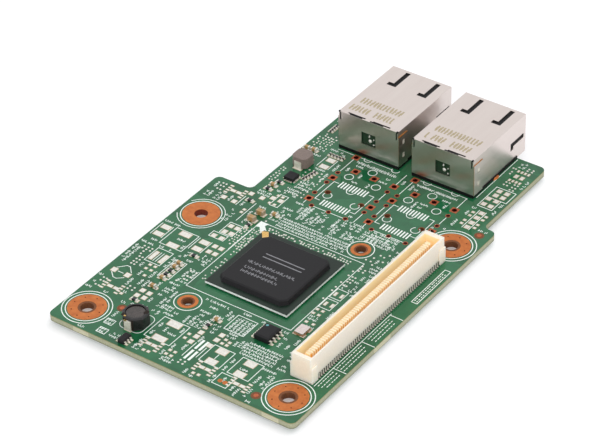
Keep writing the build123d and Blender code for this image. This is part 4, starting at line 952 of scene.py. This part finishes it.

# Jacks: a dark skirt under the housing, partly a real standoff and partly painted shade in the gap under the
# walls, marks etched in the top, latches in the side tabs and orange lines on their edges, partly cut metal
# and partly painted glint, solder at the posts and in the rear window, black bars of painted shade in the
# slits along the fold
jacks = {
    "middles": (26.375, 47.725), "rear": 90.1, "halfWidth": 8.58, "top": 10.95, "skirtInset": -0.08,
    "skirtSize": (17.5, 20.0, 0.85), "latchHeights": (2.85, 6.65), "latchPlace": 92.25,
    "latchSize": (0.34, 0.8, 1.15),
    "postPlace": 100.35, "postSize": (1.3, 2.6), "windowBoard": 90.5, "windowHeight": 5.5,
    # Across and up from the window's middle, width, height
    "windowMarks": [
        (0.25, -0.55, 0.95, 0.95), (0.05, 0.75, 0.4, 0.8), (1.3, -1.3, 0.5, 0.4), (1.35, 0.2, 0.4, 0.4)],
    "skirtFoot": 0.01, "latchProud": 0.05, "postShape": (12, 0.6, 0.5), "windowShape": (12, 0.5, 0.25),
    # Slits along the fold: shift from the jack's middle, length
    "slits": [(-5.4, 3.6), (0.4, 3.9)],
    "slitWidth": 0.36, "slitBack": 0.02, "slitDrop": 0.27, "slitTall": 0.28,
    "cornerSlit": (0.42, 0.45, 0.27), "cornerIn": 0.2, "cornerBack": 0.1, "cornerDrop": 0.25,
    # Sign blocks, as in the white print
    "etched": [
        (20.2, 96.0, 32.4, 98.5, 0.98, 0), (19.4, 92.3, 25.2, 94.8, 0.98, 0),
        (26.4, 92.3, 32.0, 94.8, 0.98, 0), (41.7, 95.9, 54.6, 98.4, 0.98, 0),
        (41.2, 92.2, 46.9, 94.7, 0.98, 0), (48.4, 92.2, 54.4, 94.7, 0.98, 0)],
    "etchSize": (2.4, 0.92, 2.5, 0.45), "etchThick": 0.02, "etchUneven": 0.004, "etchSeed": 3,
    # Side tabs: their size, and the bronze lines on their upper and rear edges
    "foldTop": 9.3, "foldLength": 3.95, "foldThick": 0.2, "topCutDrop": 0.02, "topCutTall": 0.04,
    "topCutProud": 0.02, "cutWidth": 0.16, "rearCutFoot": 0.9, "rearCutThick": 0.02, "rearCutTall": 8.3,
}


def jackPieces(look):
    rear, top, fold = look["rear"], look["top"], look["foldThick"]
    skirts, latches, slits, cuts, posts, marks = [], [], [], [], [], []
    for x in look["middles"]:
        skirtMiddle = rear + look["skirtInset"] + look["skirtSize"][1] / 2
        skirts.append(boxPoint(x, skirtMiddle, look["skirtFoot"], *look["skirtSize"]))
        for hand in (-1, 1):
            edge = x + hand * look["halfWidth"]
            latches += [
                boxPoint(edge + hand * look["latchProud"], look["latchPlace"], z, *look["latchSize"])
                for z in look["latchHeights"]]
            cuts.append(boxPoint(
                edge + hand * fold / 2, rear + look["foldLength"] / 2, look["foldTop"] - look["topCutDrop"],
                fold + look["topCutProud"], look["foldLength"], look["topCutTall"]))
            cuts.append(boxPoint(
                edge + hand * fold, rear + look["cutWidth"] / 2, look["rearCutFoot"], look["rearCutThick"],
                look["cutWidth"], look["rearCutTall"]))
            posts.append(flatPoint(edge, look["postPlace"], *look["postSize"]))
            slits.append(boxPoint(
                edge - hand * look["cornerIn"], rear + look["cornerBack"], top - look["cornerDrop"],
                *look["cornerSlit"]))
        for shift, length in look["slits"]:
            slits.append(boxPoint(
                x + shift + length / 2, rear + look["slitWidth"] / 2 + look["slitBack"],
                top - look["slitDrop"], length, look["slitWidth"], look["slitTall"]))
        marks += [
            flatPoint(
                x + across, look["windowBoard"], wide, tall, look["windowHeight"] + up, (math.pi / 2, 0, 0))
            for across, up, wide, tall in look["windowMarks"]]
    # Painted shade: the near-black skirts fill the gap under the shield walls, partly standing for the real
    # standoff
    growBoxes("jackSkirts", skirts, blackPlastic)
    # Painted shade: black bars in the slits along the fold and at the corners
    growBoxes("jackSlits", slits, blackPlastic)
    growBoxes("jackLatches", latches, tinnedClip)
    # Orange lines on the tab edges: partly cut metal, partly painted glint
    growBoxes("jackCutEdges", cuts, edgeMetalAndGlint)
    growPads("postSolder", posts, look["postShape"], bareCopper)
    growPads("windowSolder", marks, look["windowShape"], tinSolder)
    chance = random.Random(look["etchSeed"])
    strokes = []
    for block in look["etched"]:
        strokes += signStrokes(block, look["etchSize"], top, chance)
    strokes = unevenStrokes(strokes, look["etchUneven"], chance)
    growBars("etchedMarks", strokes, look["etchThick"], etchedTin)


jackPieces(jacks)

# Marks on the chips: grey rows on the controller's cap, a teal dot by the memory chip's first lead, and the
# white arrow with its gold strip at the controller's first corner
chipMarks = {
    "capTop": 2.16, "thick": 0.014, "size": (0.95, 0.78, 1.2, 0.2), "uneven": 0.003, "seed": 8,
    "rows": [
        (28.0, 38.5, 41.5, 39.5, 1.0, 0), (28.5, 36.4, 38.2, 37.3, 1.0, 0),
        (28.6, 34.8, 38.9, 35.7, 1.0, 0)],
    "bars": [(35.2, 43.2, 10.6, 0.3), (35.2, 41.9, 10.6, 0.3)],
    "dot": (45.0, 22.75, 0.7, 0.7, 1.6), "dotShape": (20, 0.95, 0.04),
    "arrowFoot": -0.01, "arrowTop": 0.045,
    "arrow": [
        (19.66, 54.94), (19.66, 52.6), (20.7, 52.9), (22.3, 51.0), (23.3, 52.2), (21.5, 53.9),
        (21.9, 54.94)],
    "strip": [(22.9, 50.8), (24.4, 51.5), (26.0, 49.3), (24.7, 48.6)], "stripFoot": 0.9, "stripTop": 1.02,
}


def chipPieces(look):
    chance = random.Random(look["seed"])
    strokes = [
        strokePoint(x - wide / 2, y, x + wide / 2, y, deep, look["capTop"])
        for x, y, wide, deep in look["bars"]]
    for block in look["rows"]:
        strokes += signStrokes(block, look["size"], look["capTop"], chance)
    strokes = unevenStrokes(strokes, look["uneven"], chance)
    growBars("capMarks", strokes, look["thick"], laserGrey)
    growPads("firstLeadDot", [flatPoint(*look["dot"])], look["dotShape"], tealInk)
    for name, part, material, slotName in (
            ("firstCornerArrow", "arrow", screenInk, "cream_plastic"),
            ("firstCornerStrip", "strip", goldFlash, "gold_plating")):
        addSlab(name, look[part], look[part + "Foot"], look[part + "Top"], material)


chipPieces(chipMarks)

# Small labels of made-up signs in the places that nothing else takes, as on any dense board
labels = {
    "cell": 0.25, "margin": 1, "tries": 16000, "signs": (3, 5), "size": (0.72, 0.56, 1.0, 0.15), "seed": 4,
    "alongY": 0.45, "height": 0.004, "slack": 0.001,
    # Places kept free: x and y of one corner, x and y of the other
    "free": [
        (19.6, 25.5, 49.4, 55.0), (24.6, 69.2, 36.7, 77.9), (41.8, 69.2, 53.9, 77.9),
        (14.0, 90.0, 59.0, 110.0), (57.4, 12.5, 68.2, 66.0), (0.0, 0.0, 11.6, 12.8),
        (56.2, 0.0, 68.2, 12.8), (56.2, 65.8, 68.2, 77.8), (0.0, 43.6, 11.6, 55.6),
        (22.6, 54.6, 44.0, 60.0), (14.8, 4.6, 22.6, 13.2)],
    # Zones that labels are tried in, and how often each
    "zoneShares": (5, 2, 1),
    "outline": [(0.6, 0.6, 67.6, 63.4), (10.7, 65.0, 55.4, 90.0), (57.2, 78.4, 63.9, 109.0)],
}


def takenCells(look):
    taken = set()

    def fill(x0, y0, x1, y1, margin):
        cell = look["cell"]
        for i in range(int(x0 / cell) - margin, int(x1 / cell) + margin + 1):
            for j in range(int(y0 / cell) - margin, int(y1 / cell) + margin + 1):
                taken.add((i, j))

    for corners in look["free"]:
        fill(*corners, 0)
    origin = onBoard(0, 0)
    loose = [thing for name, thing in nodes.items() if name not in ("circuit_board", "mezzanine_housing")]
    loose += [bpy.data.objects[name] for name in (
        "whitePrint", "tinnedLands", "testDots", "viaCollars", "padHoleWalls", "pegHoleWalls", "whiteRings")]
    for thing in loose:
        for face in thing.data.polygons:
            spots = [(thing.data.vertices[i].co - origin) * 1000 for i in face.vertices]
            xs, ys = [spot.x for spot in spots], [spot.y for spot in spots]
            fill(min(xs), min(ys), max(xs), max(ys), look["margin"])
    return taken


def labelPoints(look):
    chance = random.Random(look["seed"])
    taken, cell = takenCells(look), look["cell"]
    tall, pitch = look["size"][:2]
    strokes = []
    for _ in range(look["tries"]):
        x0, y0, x1, y1 = chance.choices(look["outline"], look["zoneShares"])[0]
        x, y = chance.uniform(x0, x1), chance.uniform(y0, y1)
        turned = chance.random() < look["alongY"]
        length = chance.randint(*look["signs"]) * pitch
        wide, deep = (tall, length) if turned else (length, tall)
        if x + wide > x1 or y + deep > y1:
            continue
        cells = {
            (i, j) for i in range(int(x / cell), int((x + wide) / cell) + 1)
            for j in range(int(y / cell), int((y + deep) / cell) + 1)}
        if cells & taken:
            continue
        taken |= {(i + a, j + b) for i, j in cells for a in (-1, 0, 1) for b in (-1, 0, 1)}
        block = (x, y, x + wide, y + deep + look["slack"], 1.0, turned)
        strokes += signStrokes(block, look["size"], look["height"], chance)
    return strokes


growBars("smallLabels", labelPoints(labels), silkscreen["ink"], screenInk)

# Underside: copper round the holes, solder cones on the pins and posts, and the lower ends of the vias
underside = {
    "face": -1.6, "mountRing": (2.18, 4.62), "sinkRing": (1.66, 2.45), "ringTall": 0.1, "ringSides": 40,
    "pinSize": 1.5, "tipDrop": 0.2, "pinGap": 1.3, "postIn": 0.12, "postSize": (1.9, 3.0),
    "coneShape": (14, 0.45, 0.75), "viaShape": (8, 0.85, 0.04), "viaSize": 0.42, "viaSpread": (0.8, 1.2),
    # Via ends in each area: first and last x, first and last y
    "viaCount": 260, "viaAreas": [(2.0, 66.0, 12.0, 44.0), (14.0, 66.0, 46.0, 88.0)], "seed": 21,
}


# Middles of the pins that stand out below the board, each found once
def pinSpots(look):
    spots = []
    for side in ("left", "right"):
        pins = nodes[f"{side}_jack_pins"].data
        lowest = boardLow[2] - look["tipDrop"] / 1000
        tips = {(round(v.co.x, 4), round(v.co.y, 4)) for v in pins.vertices if v.co.z < lowest}
        found = []
        for x, y in sorted(tips):
            if all(math.hypot(a - x, b - y) >= look["pinGap"] / 1000 for a, b in found):
                found.append((x, y))
        spots += found
    return spots


def undersidePieces(look):
    chance = random.Random(look["seed"])
    face, over = look["face"], (math.pi, 0, 0)
    for name, places, (inside, outside) in (
            ("undersideMountRings", holeSets["mountHoles"] + [holeSets["platedHole"]], look["mountRing"]),
            ("undersideSinkRings", holeSets["sinkHoles"], look["sinkRing"])):
        growRings(name, ringPoints(places, (inside + outside) / 2, face), (
            outside - inside, look["ringTall"], look["ringSides"]), bareCopper)
    width = mm(look["pinSize"], look["pinSize"])
    cones = [(Vector((x, y, boardLow[2])), (*width, 1.0), over) for x, y in pinSpots(look)]
    cones += [
        flatPoint(
            x + hand * (jacks["halfWidth"] - look["postIn"]), jacks["postPlace"],
            *look["postSize"], face, over)
        for x in jacks["middles"] for hand in (-1, 1)]
    growPads("undersideCones", cones, look["coneShape"], tinSolder)
    dots = []
    for x0, x1, y0, y1 in look["viaAreas"]:
        for _ in range(look["viaCount"]):
            wide = look["viaSize"] * chance.uniform(*look["viaSpread"])
            dots.append(flatPoint(chance.uniform(x0, x1), chance.uniform(y0, y1), wide, wide, face, over))
    growPads("undersideVias", dots, look["viaShape"], tinSolder)


undersidePieces(underside)

# Edge places where the card was snapped out of its panel; on the inductor, near-black boxes of painted shade
# in its gaps and notches, and gold boxes of painted highlight on its clip and top, partly the copper of the
# winding
smallDetails = {
    "frontTabs": [(9.7, 4.4), (62.15, 4.5)], "sideTabs": [(34.0, 6.5)], "tabThick": 0.06, "tabHeight": 1.2,
    "tabFoot": -1.4, "rightEdge": 68.2,
    # x, y, foot, width, depth, height
    "inductorGaps": [
        (20.15, 5.66, 0.3, 0.5, 0.16, 2.9), (17.35, 6.3, 3.3, 1.0, 0.9, 0.13),
        (21.15, 9.7, 3.3, 0.9, 1.1, 0.13), (17.75, 5.62, 0.3, 0.3, 0.12, 2.6)],
    "inductorTurns": [(18.35, 5.5, 2.5, 0.6, 0.4, 0.32), (17.9, 6.0, 3.38, 0.5, 0.35, 0.1)],
}


def smallPieces(look):
    foot, thick, tall = look["tabFoot"], look["tabThick"], look["tabHeight"]
    tabs = [boxPoint(x, 0, foot, wide, thick, tall) for x, wide in look["frontTabs"]]
    tabs += [boxPoint(look["rightEdge"], y, foot, thick, wide, tall) for y, wide in look["sideTabs"]]
    growBoxes("panelTabs", tabs, snappedFibre)
    # Painted shade in the inductor's gaps and notches
    growBoxes("inductorGaps", [boxPoint(*gap) for gap in look["inductorGaps"]], gapShadeBrown)
    # Painted highlight on the clip's top, and a glimpse of the winding's copper on the top
    growBoxes("inductorTurns", [boxPoint(*turn) for turn in look["inductorTurns"]], goldFlash)


smallPieces(smallDetails)

# White floor that fades into a white room, with the card's own shadow on it
studio = {
    "floorSize": 6.0, "floorColour": "#e4e4e6", "floorGlow": 0.3, "floorCells": 8, "toothScale": 200.0,
    "toothRelief": 0.02, "toothDepth": 0.0001, "room": 0.7, "roomSeen": 1.0,
    "keyPlace": (0.2, 0.5, 0.95), "keySize": 1.2, "keyPower": 4.2,
    "fillPlace": (0.45, -0.65, 0.42), "fillSize": 1.0, "fillPower": 3.7,
}


def addFloor(look):
    sheet = bmesh.new()
    bmesh.ops.create_grid(
        sheet, x_segments=look["floorCells"], y_segments=look["floorCells"], size=look["floorSize"] / 2)
    floorMesh = bpy.data.meshes.new("studioFloor")
    sheet.to_mesh(floorMesh)
    sheet.free()
    floor = bpy.data.objects.new("studioFloor", floorMesh)
    bpy.context.scene.collection.objects.link(floor)
    material, tree = newMaterial("paintedStudioFloor")
    place = addNode(tree, "ShaderNodeTexCoord")
    tooth = addNode(tree, "ShaderNodeTexNoise", {
        "Vector": place.outputs["Object"], "Scale": look["toothScale"]})
    relief = addNode(tree, "ShaderNodeBump", {
        "Height": tooth.outputs["Fac"], "Strength": look["toothRelief"], "Distance": look["toothDepth"]})
    paint = addNode(tree, "ShaderNodeBsdfDiffuse", {
        "Color": colour(look["floorColour"]), "Normal": relief.outputs[0]})
    path = addNode(tree, "ShaderNodeLightPath")
    seen = addNode(tree, "ShaderNodeMath", {
        0: path.outputs["Is Camera Ray"], 1: path.outputs["Is Glossy Ray"]}, operation="MAXIMUM")
    lifted = addNode(tree, "ShaderNodeMath", {0: seen.outputs[0], 1: look["floorGlow"]}, operation="MULTIPLY")
    glow = addNode(tree, "ShaderNodeEmission", {"Strength": lifted.outputs[0]})
    both = addNode(tree, "ShaderNodeAddShader", {0: paint.outputs[0], 1: glow.outputs[0]})
    addNode(tree, "ShaderNodeOutputMaterial", {"Surface": both.outputs[0]})
    floorMesh.materials.append(material)


def addRoom(look):
    world = bpy.data.worlds.new("whiteRoom")
    world.use_nodes = True
    tree = world.node_tree
    tree.nodes.clear()
    path = addNode(tree, "ShaderNodeLightPath")
    direct = addNode(tree, "ShaderNodeMath", {
        0: path.outputs["Is Camera Ray"], 1: path.outputs["Is Glossy Ray"]}, operation="MAXIMUM")
    seen = addNode(tree, "ShaderNodeMath", {
        0: direct.outputs[0], 1: path.outputs["Is Transmission Ray"]}, operation="MAXIMUM")
    strength = addNode(tree, "ShaderNodeMapRange", {
        "Value": seen.outputs[0], "To Min": look["room"], "To Max": look["roomSeen"]})
    air = addNode(tree, "ShaderNodeBackground", {"Color": (1, 1, 1, 1), "Strength": strength.outputs[0]})
    addNode(tree, "ShaderNodeOutputWorld", {"Surface": air.outputs[0]})
    bpy.context.scene.world = world


def addSoftbox(name, place, size, power):
    lamp = bpy.data.lights.new(name, "AREA")
    lamp.shape = "SQUARE"
    lamp.size = size
    lamp.energy = power
    box = bpy.data.objects.new(name, lamp)
    box.location = place
    # The metal mirrors the white room alone, so no side of it burns out
    box.visible_glossy = False
    box.rotation_euler = Vector(place).to_track_quat("Z", "Y").to_euler()
    bpy.context.scene.collection.objects.link(box)


addFloor(studio)
addRoom(studio)
addSoftbox("keySoftbox", studio["keyPlace"], studio["keySize"], studio["keyPower"])
addSoftbox("fillSoftbox", studio["fillPlace"], studio["fillSize"], studio["fillPower"])
print("floor, room and softboxes set")

# Camera at the photograph's angle: degrees, millimetres, and the board place at the middle of the picture
view = {
    "azimuth": 36.56, "elevation": 36.69, "roll": -1.764, "distance": 604.14, "aim": (26.973, 59.46),
    "lens": 155.16, "sensor": 36.0,
}


def addCamera(look):
    turn, lift, roll = (math.radians(look[key]) for key in ("azimuth", "elevation", "roll"))
    back = Vector((math.sin(turn) * math.cos(lift), -math.cos(turn) * math.cos(lift), math.sin(lift)))
    level = Vector((math.cos(turn), math.sin(turn), 0.0))
    upright = back.cross(level)
    right = math.cos(roll) * level + math.sin(roll) * upright
    up = math.cos(roll) * upright - math.sin(roll) * level
    lens = bpy.data.cameras.new("photoCamera")
    lens.lens = look["lens"]
    lens.sensor_width = look["sensor"]
    lens.sensor_fit = "HORIZONTAL"
    camera = bpy.data.objects.new("photoCamera", lens)
    axes = Matrix((right, up, back)).transposed().to_4x4()
    camera.matrix_world = Matrix.Translation(onBoard(*look["aim"]) + back * look["distance"] / 1000) @ axes
    bpy.context.scene.collection.objects.link(camera)
    bpy.context.scene.camera = camera


addCamera(view)
bpy.context.scene.view_settings.view_transform = "Standard"
print("camera set")
